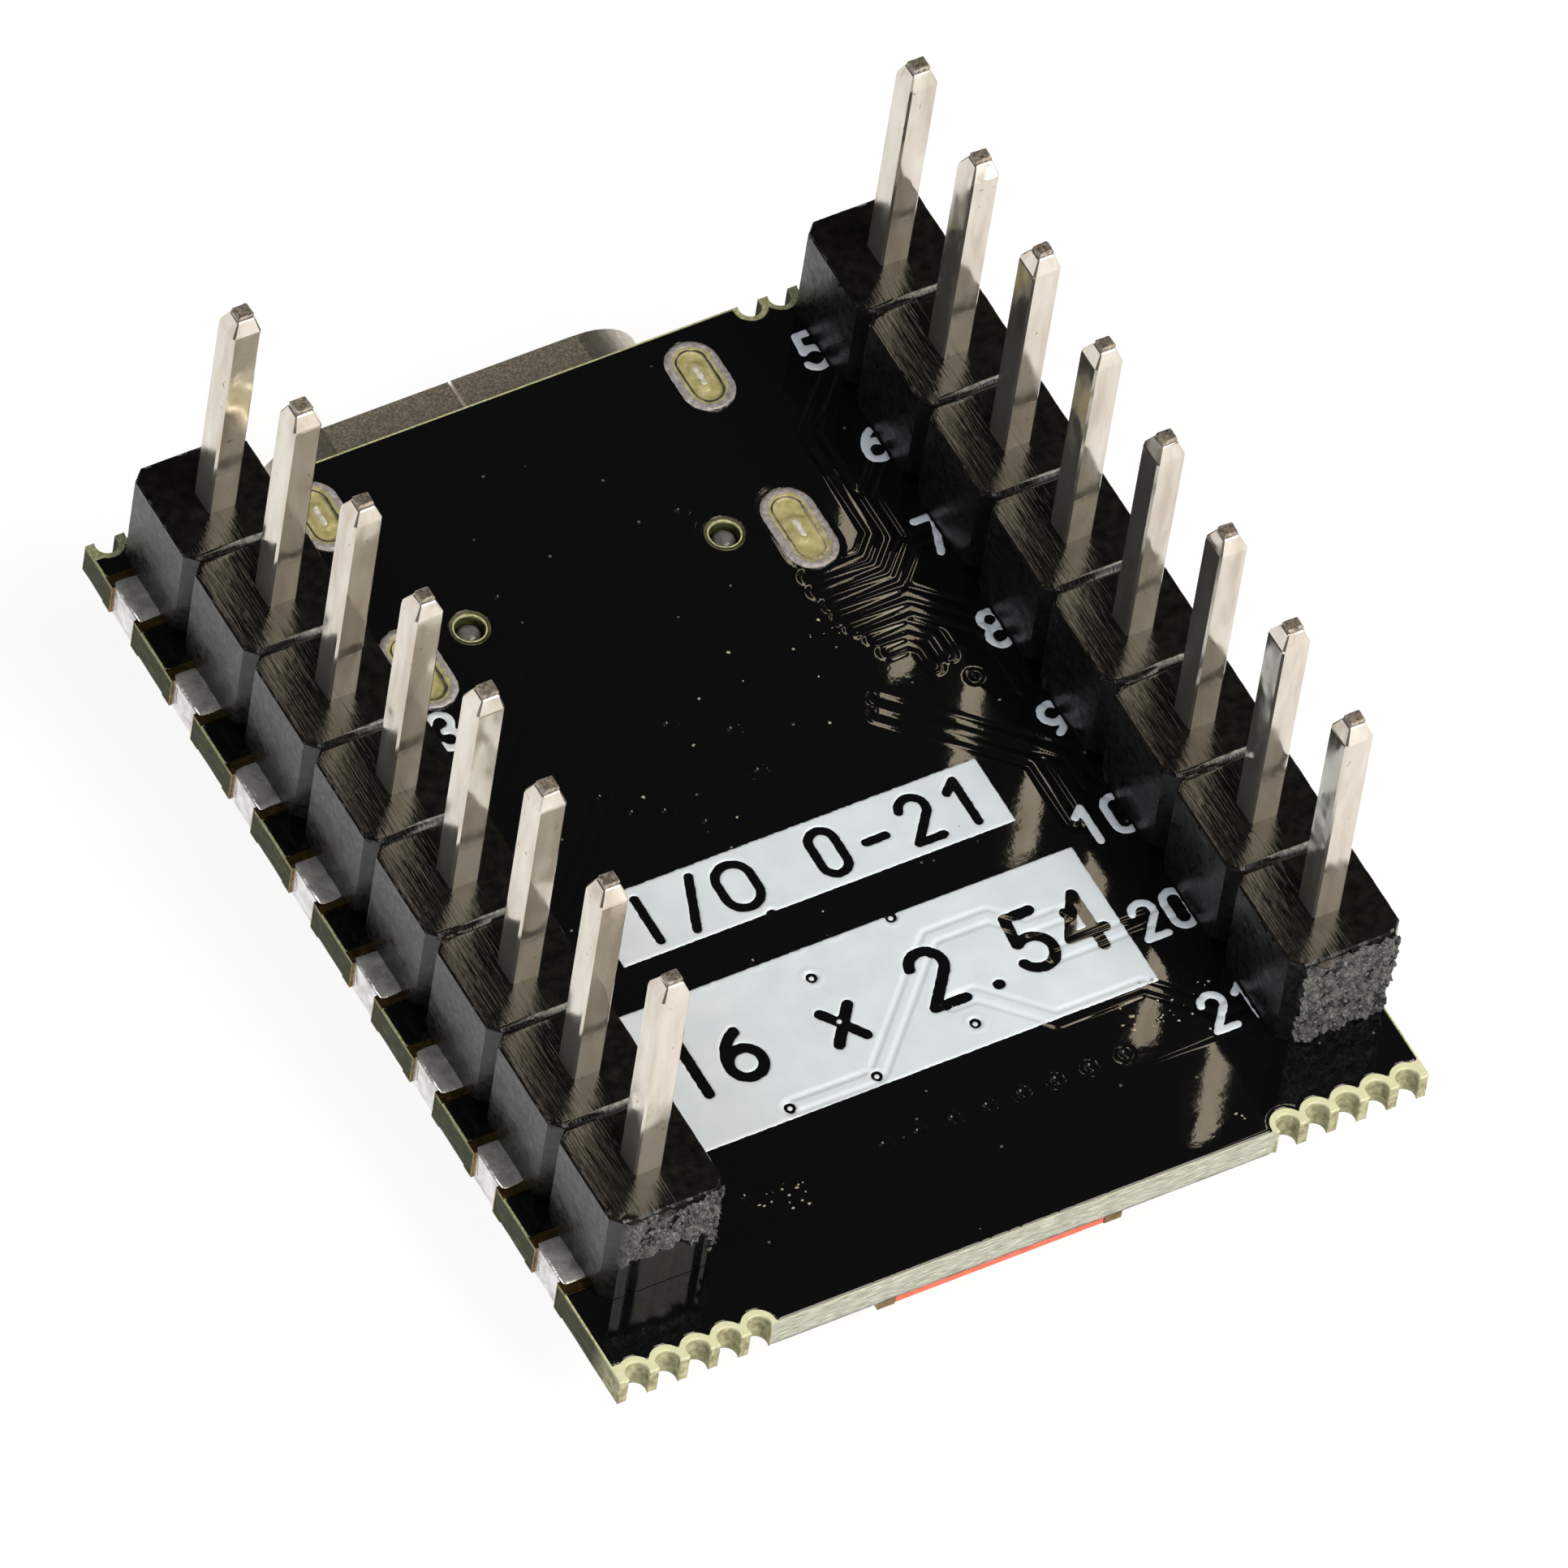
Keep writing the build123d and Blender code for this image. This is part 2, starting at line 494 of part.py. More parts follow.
def usb_insulator(inserts):
    """The black moulding: rear block, step, tongue and two locating pegs."""
    inner_w, inner_h = USB_W - 2 * USB_WALL, USB_H - 2 * USB_WALL
    rear = stadium(inner_w, inner_h, USB_REAR_Y + 0.20, 6.60)
    collar = stadium(7.4, 1.6, 6.60, 7.40)
    tongue = block(USB_X - TONGUE_W / 2, USB_X + TONGUE_W / 2, 7.40, USB_MOUTH_Y - TONGUE_SET_BACK,
                   USB_Z - TONGUE_T / 2, USB_Z + TONGUE_T / 2)
    tongue = chamfer(tongue.edges().filter_by(Axis.X).group_by(Axis.Y)[-1], 0.15)
    foot = block(USB_X - 3.6, USB_X + 3.6, USB_REAR_Y + 0.20, USB_PEG_Y + 0.75, USB_Z + 1.05, BOTTOM - 0.02)
    pegs = [rod(USB_X + side * USB_PEG_X, USB_PEG_Y, USB_PEG_R, BOTTOM - 0.5, BOTTOM + 0.55)
            for side in (-1, 1)]
    return joined([rear, collar, tongue, foot] + pegs) - inserts


def usb_leg_solder():
    """Solder round each leg, filling the lower part of its slot."""
    pieces = []
    legs = [(side, leg) for leg in (USB_FRONT_LEG, USB_REAR_LEG) for side in (-1, 1)]
    for hole, (side, (y, leg_width, _)) in zip(leg_slots(0), legs):
        leg_room = centred(USB_X + side * USB_LEG_X, y, USB_LEG_T, leg_width, -2, 1)
        pieces.append(plate(hole, BOTTOM, -0.34) - leg_room)
    return group(pieces)


# ---- processor ----
def chip_leads_at():
    """Centre and size of each of the 32 edge leads."""
    cx, cy = CHIP_AT
    places = []
    for i in range(8):
        off = (i - 3.5) * 0.5
        for side in (-1, 1):
            places.append((cx + off, cy + side * (CHIP_SIDE / 2 - 0.2), 0.25, 0.4))
            places.append((cx + side * (CHIP_SIDE / 2 - 0.2), cy + off, 0.4, 0.25))
    return places


def processor_leads():
    cx, cy = CHIP_AT
    leads = [centred(x, y, w, l, BOTTOM - 0.20, BOTTOM) for x, y, w, l in chip_leads_at()]
    return group(leads + [centred(cx, cy, 3.7, 3.7, BOTTOM - 0.20, BOTTOM)])


def processor_package():
    cx, cy = CHIP_AT
    body = centred(cx, cy, CHIP_SIDE, CHIP_SIDE, BOTTOM - CHIP_H, BOTTOM - 0.02)
    body = chamfer(body.edges().group_by(Axis.Z)[0], 0.06)
    dimple = rod(cx - 1.9, cy + 1.9, 0.25, BOTTOM - CHIP_H - 1, BOTTOM - CHIP_H + 0.05)
    room = [centred(x, y, w, l, BOTTOM - 0.20, BOTTOM) for x, y, w, l in chip_leads_at()]
    return body - dimple - room - centred(cx, cy, 3.7, 3.7, BOTTOM - 0.20, BOTTOM)


# ---- other components ----
def gull_lead(x, y, width, reach, out):
    """A gull-wing lead that leaves a body at y and steps down to the board; out is its Y direction."""
    thick, exit_h = 0.15, 0.60
    bend_y = y + out * 0.30
    left, right, top = x - width / 2, x + width / 2, BOTTOM - exit_h
    shoulder = block(left, right, *sorted((y, bend_y)), top, top + thick)
    drop = block(left, right, *sorted((bend_y - out * thick, bend_y)), top, BOTTOM)
    foot = block(left, right, *sorted((bend_y - out * thick, y + out * reach)), BOTTOM - thick, BOTTOM)
    return joined([shoulder, drop, foot])


REGULATOR_BODY = (2.9, 1.6, 1.05)
REGULATOR_LEADS = [(-0.95, -1), (0.0, -1), (0.95, -1), (-0.95, 1), (0.95, 1)]
DIODE_BODY = (1.25, 1.70, 0.95)


def regulator_body():
    w, l, h = REGULATOR_BODY
    body = centred(*REGULATOR_AT, w, l, BOTTOM - h - 0.10, BOTTOM - 0.10)
    return chamfer(body.edges().group_by(Axis.Z)[0], 0.12)


def regulator_leads():
    x, y = REGULATOR_AT
    half = REGULATOR_BODY[1] / 2
    return group([gull_lead(x + dx, y + out * half, 0.4, 0.6, out) for dx, out in REGULATOR_LEADS])


def diode_body():
    w, l, h = DIODE_BODY
    body = centred(*DIODE_AT, w, l, BOTTOM - h - 0.05, BOTTOM - 0.05)
    return chamfer(body.edges().group_by(Axis.Z)[0], 0.10)


def diode_leads():
    x, y = DIODE_AT
    return group([gull_lead(x, y + out * DIODE_BODY[1] / 2, 0.35, 0.45, out) for out in (-1, 1)])


def crystal_base():
    body = centred(*CRYSTAL_AT, 2.5, 3.2, BOTTOM - 0.35, BOTTOM - 0.05)
    return fillet(body.edges().filter_by(Axis.Z), 0.2)


def crystal_pads_at():
    x, y = CRYSTAL_AT
    return [(x + sx * 0.85, y + sy * 1.1, 0.7, 0.9) for sx in (-1, 1) for sy in (-1, 1)]


def crystal_terminals():
    return group([centred(x, y, w, l, BOTTOM - 0.05, BOTTOM) for x, y, w, l in crystal_pads_at()])


def crystal_lid():
    lid = centred(*CRYSTAL_AT, 2.2, 2.9, BOTTOM - 0.70, BOTTOM - 0.35)
    lid = fillet(lid.edges().filter_by(Axis.Z), 0.3)
    return fillet(lid.edges().group_by(Axis.Z)[0], 0.08)


def two_ended(at, turned, length, width, height, cap):
    """Body, and its two end caps, of a small part that is soldered at both ends."""
    x, y = at
    recess = 0.02
    turn = Pos(x, y, BOTTOM) * Rot(0, 0, 90 if turned else 0)
    body = turn * centred(0, 0, length - 2 * cap, width - 2 * recess, -height + recess, -recess)
    ends = [turn * block(*sorted((s * (length / 2 - cap), s * length / 2)), -width / 2, width / 2, -height, 0)
            for s in (-1, 1)]
    return body, ends


def capacitors():
    bodies, ends = zip(*[two_ended((x, y), t, 1.0, 0.5, 0.5, 0.25) for x, y, t in CAPACITORS])
    return group(bodies), group([end for pair in ends for end in pair])


def resistors():
    bodies, films, ends = [], [], []
    for x, y, turned in RESISTORS:
        body, pair = two_ended((x, y), turned, 1.0, 0.5, 0.32, 0.22)
        turn = Pos(x, y, BOTTOM) * Rot(0, 0, 90 if turned else 0)
        film = turn * centred(0, 0, 0.54, 0.42, -0.35, -0.30)
        bodies.append(body)
        films.append(film)
        ends += pair
    return group(bodies), group(films), group(ends)


def inductor():
    body, ends = two_ended(INDUCTOR_AT, True, 1.0, 0.5, 0.5, 0.2)
    return body, group(ends)


def antenna():
    length, width, height = ANTENNA_SIZE
    body, ends = two_ended(ANTENNA_AT, False, length, width, height, 0.4)
    return body, group(ends)


def led_base():
    return group([centred(x, y, 1.0, 0.8, BOTTOM - 0.22, BOTTOM) for x, y in LEDS])


def led_terminals():
    return group([centred(x + side * 0.65, y, 0.3, 0.8, BOTTOM - 0.22, BOTTOM)
                  for x, y in LEDS for side in (-1, 1)])


def led_lens(at):
    lens = centred(*at, 1.1, 0.8, BOTTOM - 0.62, BOTTOM - 0.22)
    return chamfer(lens.edges().group_by(Axis.Z)[0], 0.08)


# ---- push buttons ----
def button_base(at):
    base = centred(*at, BUTTON_W, BUTTON_L, BUTTON_TOP, BOTTOM)
    return base - rod(*at, BUTTON_WELL_R, BUTTON_TOP - 1, BOTTOM - 0.20)


def button_cover(at):
    """A steel cover plate with two clipped skirts."""
    x, y = at
    cover = centred(x, y, BUTTON_W + 0.24, BUTTON_L, BUTTON_TOP - BUTTON_COVER_T, BUTTON_TOP)
    cover = chamfer(cover.edges().group_by(Axis.Z)[0], 0.06)
    skirts = [block(*sorted((x + s * BUTTON_W / 2, x + s * (BUTTON_W / 2 + 0.12))), y - 0.9, y + 0.9,
                    BUTTON_TOP - 0.05, BOTTOM - 0.35) for s in (-1, 1)]
    return joined([cover] + skirts) - rod(x, y, BUTTON_STEM_R + 0.05, BUTTON_TOP - 1, BUTTON_TOP + 1)


def button_plunger(at):
    flange_top = BUTTON_TOP + 0.03
    stem = rod(*at, BUTTON_STEM_R, BUTTON_TOP - BUTTON_COVER_T - 0.40, flange_top)
    stem = fillet(stem.edges().group_by(Axis.Z)[0], 0.10)
    flange = rod(*at, BUTTON_FLANGE_R, flange_top, flange_top + 0.20)
    nub = rod(*at, 0.40, flange_top + 0.20, flange_top + 0.50)
    return stem + flange + nub


def button_dome(at):
    """The snap dome: a shallow spring-steel cap that stands on the well's floor."""
    rise, half, thick = 0.30, 1.0, 0.06
    radius = (half ** 2 + rise ** 2) / (2 * rise)
    centre_z = BOTTOM - 0.20 - rise + radius
    cap = Pos(*at, centre_z) * Sphere(radius) - Pos(*at, centre_z) * Sphere(radius - thick)
    return cap & rod(*at, half, BOTTOM - 1.0, BOTTOM - 0.20)


def button_terminals(at):
    x, y = at
    near, far, width = BUTTON_L / 2, 1.85, 0.5
    return group([centred(x + sx * 0.8, y + sy * (near + far) / 2, width, far - near, BOTTOM - 0.15, BOTTOM)
                  for sx in (-1, 1) for sy in (-1, 1)])


# ---- solder pads of the component side: x0, x1, y0, y1 ----
def around(x, y, width, length):
    return (x - width / 2, x + width / 2, y - length / 2, y + length / 2)


def end_pads(x, y, turned, reach, pad_length, pad_width):
    """Two pads, their centres reach either side of the part's centre."""
    if turned:
        return [around(x, y + s * reach, pad_width, pad_length) for s in (-1, 1)]
    return [around(x + s * reach, y, pad_length, pad_width) for s in (-1, 1)]


def component_pads():
    pads = []
    for x, y, turned in CAPACITORS + RESISTORS + [(*INDUCTOR_AT, True)]:
        pads += end_pads(x, y, turned, 0.48, 0.50, 0.56)
    for x, y in LEDS:
        pads += end_pads(x, y, False, 0.75, 0.60, 0.80)
    pads += end_pads(*ANTENNA_AT, False, ANTENNA_SIZE[0] / 2 - 0.15, 0.70, 1.70)
    pads += [around(x, y, w + 0.1, l + 0.1) for x, y, w, l in crystal_pads_at()]
    cx, cy = CHIP_AT
    for x, y, w, l in chip_leads_at():
        pads.append(around(x + (0.15 if x > cx + 2.1 else -0.15 if x < cx - 2.1 else 0),
                           y + (0.15 if y > cy + 2.1 else -0.15 if y < cy - 2.1 else 0), w, l))
    pads.append(around(cx, cy, 3.7, 3.7))
    for dx, out in REGULATOR_LEADS:
        pads.append(around(REGULATOR_AT[0] + dx, REGULATOR_AT[1] + out * 1.25, 0.5, 0.6))
    pads += [around(DIODE_AT[0], DIODE_AT[1] + out * 1.15, 0.5, 0.55) for out in (-1, 1)]
    for x, y in (BOOT_BUTTON, RESET_BUTTON):
        pads += [around(x + sx * 0.8, y + sy * 1.72, 0.6, 0.5) for sx in (-1, 1) for sy in (-1, 1)]
    foot_y = USB_REAR_Y - 0.35
    pads += [around(USB_X + s * x, foot_y, 0.55, 0.7) for x in (2.40, 3.20) for s in (-1, 1)]
    pads += [around(USB_X + s * x, foot_y, 0.26, 0.7) for x in (0.25, 0.75, 1.25, 1.75) for s in (-1, 1)]
    return pads


def component_side_pads():
    return group([plate(rect(*pad), BOTTOM, BOTTOM + LAYER) for pad in component_pads()])


# ---- every sub-part, by node name ----
outer_row, inner_row, mid_plate = usb_contacts_outer(), usb_contacts_inner(), usb_mid_plate()
capacitor_bodies, capacitor_ends = capacitors()
resistor_bodies, resistor_films, resistor_ends = resistors()
inductor_body, inductor_ends = inductor()
antenna_body, antenna_ends = antenna()

nodes = {
    "board_core": board_core(),
    "solder_mask_pin_side": solder_mask_pin_side(),
    "solder_mask_component_side": solder_mask_component_side(),
    "legend_pin_side": legend_pin_side(),
    "legend_component_side": legend_component_side(),
    "plated_pin_pads": plated_pin_pads(),
    "plated_usb_slots": plated_usb_slots(),
    "component_side_pads": component_side_pads(),
    "via_barrels": via_barrels(),
    "copper_pin_side": copper_pin_side(),
    "edge_solder": edge_solder(),
    "header_housing_left": header_housing(-1),
    "header_housing_right": header_housing(1),
    "header_pins_left": header_pins(-1),
    "header_pins_right": header_pins(1),
    "header_solder_left": header_solder(-1),
    "header_solder_right": header_solder(1),
    "usb_shell": usb_shell(),
    "usb_insulator": usb_insulator([outer_row, inner_row, mid_plate]),
    "usb_contacts_outer": outer_row,
    "usb_contacts_inner": inner_row,
    "usb_mid_plate": mid_plate,
    "usb_leg_solder": usb_leg_solder(),
    "processor_package": processor_package(),
    "processor_leads": processor_leads(),
    "regulator_body": regulator_body(),
    "regulator_leads": regulator_leads(),
    "diode_body": diode_body(),
    "diode_leads": diode_leads(),
    "crystal_base": crystal_base(),
    "crystal_lid": crystal_lid(),
    "crystal_terminals": crystal_terminals(),
    "antenna_block": antenna_body,
    "antenna_terminals": antenna_ends,
    "capacitor_bodies": capacitor_bodies,
    "capacitor_terminals": capacitor_ends,
    "resistor_bodies": resistor_bodies,
    "resistor_films": resistor_films,
    "resistor_terminals": resistor_ends,
    "inductor_body": inductor_body,
    "inductor_terminals": inductor_ends,
    "led_bases": led_base(),
    "led_terminals": led_terminals(),
    "power_led_lens": led_lens(LEDS[0]),
    "status_led_lens": led_lens(LEDS[1]),
}
for button, place in (("boot", BOOT_BUTTON), ("reset", RESET_BUTTON)):
    nodes[f"{button}_button_base"] = button_base(place)
    nodes[f"{button}_button_cover"] = button_cover(place)
    nodes[f"{button}_button_plunger"] = button_plunger(place)
    nodes[f"{button}_button_dome"] = button_dome(place)
    nodes[f"{button}_button_terminals"] = button_terminals(place)

os.makedirs("parts", exist_ok=True)
for name, shape in nodes.items():
    export_step(shape, f"parts/{name}.step")
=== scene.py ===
import json
import math
import random
import bmesh
import bpy
import numpy as np
from mathutils import Matrix, Vector, noise
from mathutils.bvhtree import BVHTree
from mathutils.geometry import tessellate_polygon


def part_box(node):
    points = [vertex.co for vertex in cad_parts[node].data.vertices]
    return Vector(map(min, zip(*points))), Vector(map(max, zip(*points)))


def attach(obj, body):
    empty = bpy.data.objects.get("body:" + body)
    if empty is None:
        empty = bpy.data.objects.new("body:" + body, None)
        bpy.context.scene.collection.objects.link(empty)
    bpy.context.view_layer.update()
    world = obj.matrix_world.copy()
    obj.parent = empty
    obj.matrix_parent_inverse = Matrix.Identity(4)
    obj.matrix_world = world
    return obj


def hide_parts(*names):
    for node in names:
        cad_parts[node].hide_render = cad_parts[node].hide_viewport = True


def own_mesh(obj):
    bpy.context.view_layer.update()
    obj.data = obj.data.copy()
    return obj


# Looks of a microcontroller dev board that lies on its components, pins up.
# Lengths here are millimetres in the shared frame; mesh_object() turns them into metres.
MM = 0.001

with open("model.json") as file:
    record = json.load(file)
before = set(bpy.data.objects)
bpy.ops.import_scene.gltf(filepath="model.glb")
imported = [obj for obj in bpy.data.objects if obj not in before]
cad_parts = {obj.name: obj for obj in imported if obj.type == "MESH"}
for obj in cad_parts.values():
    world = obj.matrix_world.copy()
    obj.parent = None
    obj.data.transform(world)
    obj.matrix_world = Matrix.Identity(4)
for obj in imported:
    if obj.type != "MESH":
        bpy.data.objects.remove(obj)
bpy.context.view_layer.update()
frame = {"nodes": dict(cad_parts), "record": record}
nodes = frame["nodes"]


# ---- reading the CAD nodes ----
def box_mm(node):
    low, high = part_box(node)
    return np.array(low) / MM, np.array(high) / MM


def islands(node):
    """Lowest and highest corner of each separate solid of a node, in millimetres."""
    work = bmesh.new()
    work.from_mesh(nodes[node].data)
    bmesh.ops.remove_doubles(work, verts=work.verts, dist=1e-7)
    seen, found = set(), []
    for start in work.verts:
        if start.index in seen:
            continue
        stack, members = [start], []
        seen.add(start.index)
        while stack:
            vert = stack.pop()
            members.append(vert.co[:])
            for edge in vert.link_edges:
                other = edge.other_vert(vert)
                if other.index not in seen:
                    seen.add(other.index)
                    stack.append(other)
        members = np.array(members) / MM
        found.append((members.min(0), members.max(0)))
    work.free()
    return sorted(found, key=lambda corners: (round(corners[0][0], 1), corners[0][1]))


class Outline:
    """The plan of one flat level of a CAD node: its loops, and signed distance, positive inside."""

    def __init__(self, node, level):
        mesh = nodes[node].data
        mesh.calc_loop_triangles()
        points = np.array([vert.co[:] for vert in mesh.vertices]) / MM
        index, self.points, triangles = {}, [], []

        def key(point):
            name = (round(point[0], 4), round(point[1], 4))
            if name not in index:
                index[name] = len(self.points)
                self.points.append((point[0], point[1]))
            return index[name]

        for triangle in mesh.loop_triangles:
            corners = points[list(triangle.vertices)]
            if np.abs(corners[:, 2] - level).max() < 0.003:
                triangles.append([key(corner) for corner in corners])
        uses = {}
        for triangle in triangles:
            for a, b in zip(triangle, triangle[1:] + triangle[:1]):
                if a != b:
                    uses.setdefault((min(a, b), max(a, b)), []).append((a, b))
        self.edges = [pair[0] for pair in uses.values() if len(pair) == 1]
        flat = [Vector((x, y, 0)) for x, y in self.points]
        self.faces = BVHTree.FromPolygons(flat, triangles)
        walls, panels = [], []
        for a, b in self.edges:
            start = len(walls)
            for point, height in ((a, -1), (b, -1), (b, 1), (a, 1)):
                walls.append(Vector((*self.points[point], height)))
            panels.append((start, start + 1, start + 2, start + 3))
        self.fence = BVHTree.FromPolygons(walls, panels)

    def distance(self, x, y):
        near = self.fence.find_nearest(Vector((x, y, 0)))[3]
        inside = self.faces.ray_cast(Vector((x, y, 2)), Vector((0, 0, -1)))[0] is not None
        return near if inside else -near

    def loops(self):
        """The boundary edges chained into closed loops of points."""
        follow = {}
        for a, b in self.edges:
            follow.setdefault(a, []).append(b)
            follow.setdefault(b, []).append(a)
        left, found = set(follow), []
        while left:
            start = left.pop()
            loop, last, here = [start], None, start
            while True:
                onward = [point for point in follow[here] if point != last and point in left]
                if not onward:
                    break
                last, here = here, onward[0]
                left.discard(here)
                loop.append(here)
            found.append([self.points[point] for point in loop])
        return found


# ---- meshes ----
def mesh_object(name, points, faces, material, smooth=True):
    mesh = bpy.data.meshes.new(name)
    mesh.from_pydata([tuple(c * MM for c in point) for point in points], [], faces)
    mesh.validate()
    made = bpy.data.objects.new(name, mesh)
    bpy.context.scene.collection.objects.link(made)
    mesh.materials.append(material)
    mesh.polygons.foreach_set("use_smooth", [smooth] * len(mesh.polygons))
    return made


def finish_piece(made, body, slot, *stood_for):
    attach(made, body)
    if stood_for:
        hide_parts(*stood_for)
    return made


def rough(point, scale, seed=0.0):
    place = Vector((point[0] * scale + seed, point[1] * scale - seed, point[2] * scale + 2 * seed))
    return noise.noise(place)


class Skin:
    """A thin sheet over a plan: cells of a fine grid, cut where the signed distance crosses zero."""

    def __init__(self, signed, height, bounds, step):
        x0, x1, y0, y1 = bounds
        self.step = step
        self.xs = np.arange(x0 - step, x1 + 2 * step, step)
        self.ys = np.arange(y0 - step, y1 + 2 * step, step)
        self.signed = np.array([[signed(x, y) for y in self.ys] for x in self.xs])
        self.height = height
        self.points, self.faces, self.index = [], [], {}

    def corner(self, i, j):
        if (i, j) not in self.index:
            x, y = self.xs[i], self.ys[j]
            self.index[i, j] = len(self.points)
            self.points.append((x, y, self.height(x, y, self.signed[i, j])))
        return self.index[i, j]

    def crossing(self, a, b):
        name = (min(a, b), max(a, b))
        if name not in self.index:
            (i, j), (k, l) = name
            da, db = self.signed[i, j], self.signed[k, l]
            share = da / (da - db)
            x = self.xs[i] + (self.xs[k] - self.xs[i]) * share
            y = self.ys[j] + (self.ys[l] - self.ys[j]) * share
            self.index[name] = len(self.points)
            self.points.append((x, y, self.height(x, y, 0.0)))
        return self.index[name]

    def build(self, floor_z):
        """The sheet, and a wall from its cut edge down to floor_z."""
        inside = self.signed > 0
        rim = []
        for i in range(len(self.xs) - 1):
            for j in range(len(self.ys) - 1):
                cell = [(i, j), (i + 1, j), (i + 1, j + 1), (i, j + 1)]
                kept = [inside[c] for c in cell]
                if all(kept):
                    self.faces.append([self.corner(*c) for c in cell])
                elif any(kept):
                    ring = []
                    for here, onward, a, b in zip(cell, cell[1:] + cell[:1], kept, kept[1:] + kept[:1]):
                        if a:
                            ring.append((self.corner(*here), False))
                        if a != b:
                            ring.append((self.crossing(here, onward), True))
                    if len(ring) >= 3:
                        self.faces.append([vert for vert, _ in ring])
                        for (u, cut_u), (v, cut_v) in zip(ring, ring[1:] + ring[:1]):
                            if cut_u and cut_v:
                                rim.append((u, v))
        low = {}
        for u, v in rim:
            for vert in (u, v):
                if vert not in low:
                    low[vert] = len(self.points)
                    self.points.append((*self.points[vert][:2], floor_z))
            self.faces.append([v, u, low[u], low[v]])
        return self.points, self.faces


# ---- materials ----
class Finish:
    """A procedural material: textures in the shared frame's own coordinates, in millimetres."""

    def __init__(self, name, colour, roughness, metallic=0.0, **sockets):
        self.material = bpy.data.materials.new(name)
        self.material.use_nodes = True
        self.tree = self.material.node_tree
        self.shader = self.tree.nodes["Principled BSDF"]
        self.shader.inputs["Base Color"].default_value = (*colour, 1)
        self.shader.inputs["Roughness"].default_value = roughness
        self.shader.inputs["Metallic"].default_value = metallic
        for socket, value in sockets.items():
            self.shader.inputs[socket.replace("_", " ")].default_value = value
        self.place = self.tree.nodes.new("ShaderNodeTexCoord").outputs["Object"]
        self.last_normal = None

    def link(self, a, b):
        self.tree.links.new(a, b)

    def scaled(self, stretch):
        mapping = self.tree.nodes.new("ShaderNodeMapping")
        mapping.inputs["Scale"].default_value = [1 / (MM * s) for s in stretch]
        self.link(self.place, mapping.inputs["Vector"])
        return mapping.outputs["Vector"]

    def noise(self, stretch, detail=4.0, distortion=0.0):
        """Noise whose grain is about stretch (x, y, z) millimetres."""
        node = self.tree.nodes.new("ShaderNodeTexNoise")
        node.inputs["Scale"].default_value = 1.0
        node.inputs["Detail"].default_value = detail
        node.inputs["Distortion"].default_value = distortion
        self.link(self.scaled(stretch), node.inputs["Vector"])
        return node.outputs["Fac"]

    def specks(self, pitch, size):
        """Sparse round specks, at most one in a cell of pitch millimetres."""
        node = self.tree.nodes.new("ShaderNodeTexVoronoi")
        node.inputs["Scale"].default_value = 1.0
        self.link(self.scaled((pitch,) * 3), node.inputs["Vector"])
        stops = [(0.0, (1, 1, 1)), (size, (1, 1, 1)), (size * 1.5, (0, 0, 0))]
        return self.ramp(node.outputs["Distance"], stops)

    def ramp(self, source, stops):
        node = self.tree.nodes.new("ShaderNodeValToRGB")
        elements = node.color_ramp.elements
        while len(elements) > 1:
            elements.remove(elements[0])
        elements[0].position, elements[0].color = stops[0][0], (*stops[0][1], 1)
        for position, colour in stops[1:]:
            elements.new(position).color = (*colour, 1)
        self.link(source, node.inputs["Fac"])
        return node.outputs["Color"]

    def height_of(self, axis="Z"):
        split = self.tree.nodes.new("ShaderNodeSeparateXYZ")
        self.link(self.place, split.inputs[0])
        return split.outputs[axis]

    def span(self, source, low, high):
        """source mapped so that low becomes 0 and high 1."""
        node = self.tree.nodes.new("ShaderNodeMapRange")
        node.inputs["From Min"].default_value, node.inputs["From Max"].default_value = low, high
        self.link(source, node.inputs["Value"])
        return node.outputs["Result"]

    def mix(self, share, a, b):
        """Colour a where share is 0 and colour b where it is 1; a and b are sockets or colours."""
        node = self.tree.nodes.new("ShaderNodeMix")
        node.data_type = "RGBA"
        self.link(share, node.inputs[0])
        for source, socket in ((a, node.inputs[6]), (b, node.inputs[7])):
            if isinstance(source, tuple):
                socket.default_value = (*source, 1)
            else:
                self.link(source, socket)
        return node.outputs[2]

    def colour(self, source):
        self.link(source, self.shader.inputs["Base Color"])
        return self

    def vary(self, socket, source, low, high):
        """The socket's value runs from low to high with the source."""
        node = self.tree.nodes.new("ShaderNodeMapRange")
        node.inputs["From Min"].default_value, node.inputs["From Max"].default_value = 0.3, 0.7
        node.inputs["To Min"].default_value, node.inputs["To Max"].default_value = low, high
        self.link(source, node.inputs["Value"])
        self.link(node.outputs["Result"], self.shader.inputs[socket])
        return self

    def bump(self, source, depth, strength=1.0):
        """Surface relief of depth millimetres; further calls add to it."""
        node = self.tree.nodes.new("ShaderNodeBump")
        node.inputs["Distance"].default_value = depth * MM
        node.inputs["Strength"].default_value = strength
        self.link(source, node.inputs["Height"])
        if self.last_normal is not None:
            self.link(self.last_normal, node.inputs["Normal"])
        self.last_normal = node.outputs["Normal"]
        self.link(self.last_normal, self.shader.inputs["Normal"])
        return self


def black_mask():
    made = Finish("black_mask", (0.0022, 0.0022, 0.0026), 0.07, Specular_IOR_Level=0.5)
    made.bump(made.noise((1.1, 0.7, 0.9), 2.0), 0.004)
    made.bump(made.noise((0.10, 0.10, 0.10), 2.0), 0.0006)
    dust = made.specks(0.70, 0.035)
    made.colour(made.mix(dust, (0.0022, 0.0024, 0.0028), (0.10, 0.09, 0.08)))
    made.vary("Roughness", made.noise((1.6, 1.6, 1.6), 5.0), 0.02, 0.07)
    return made.material


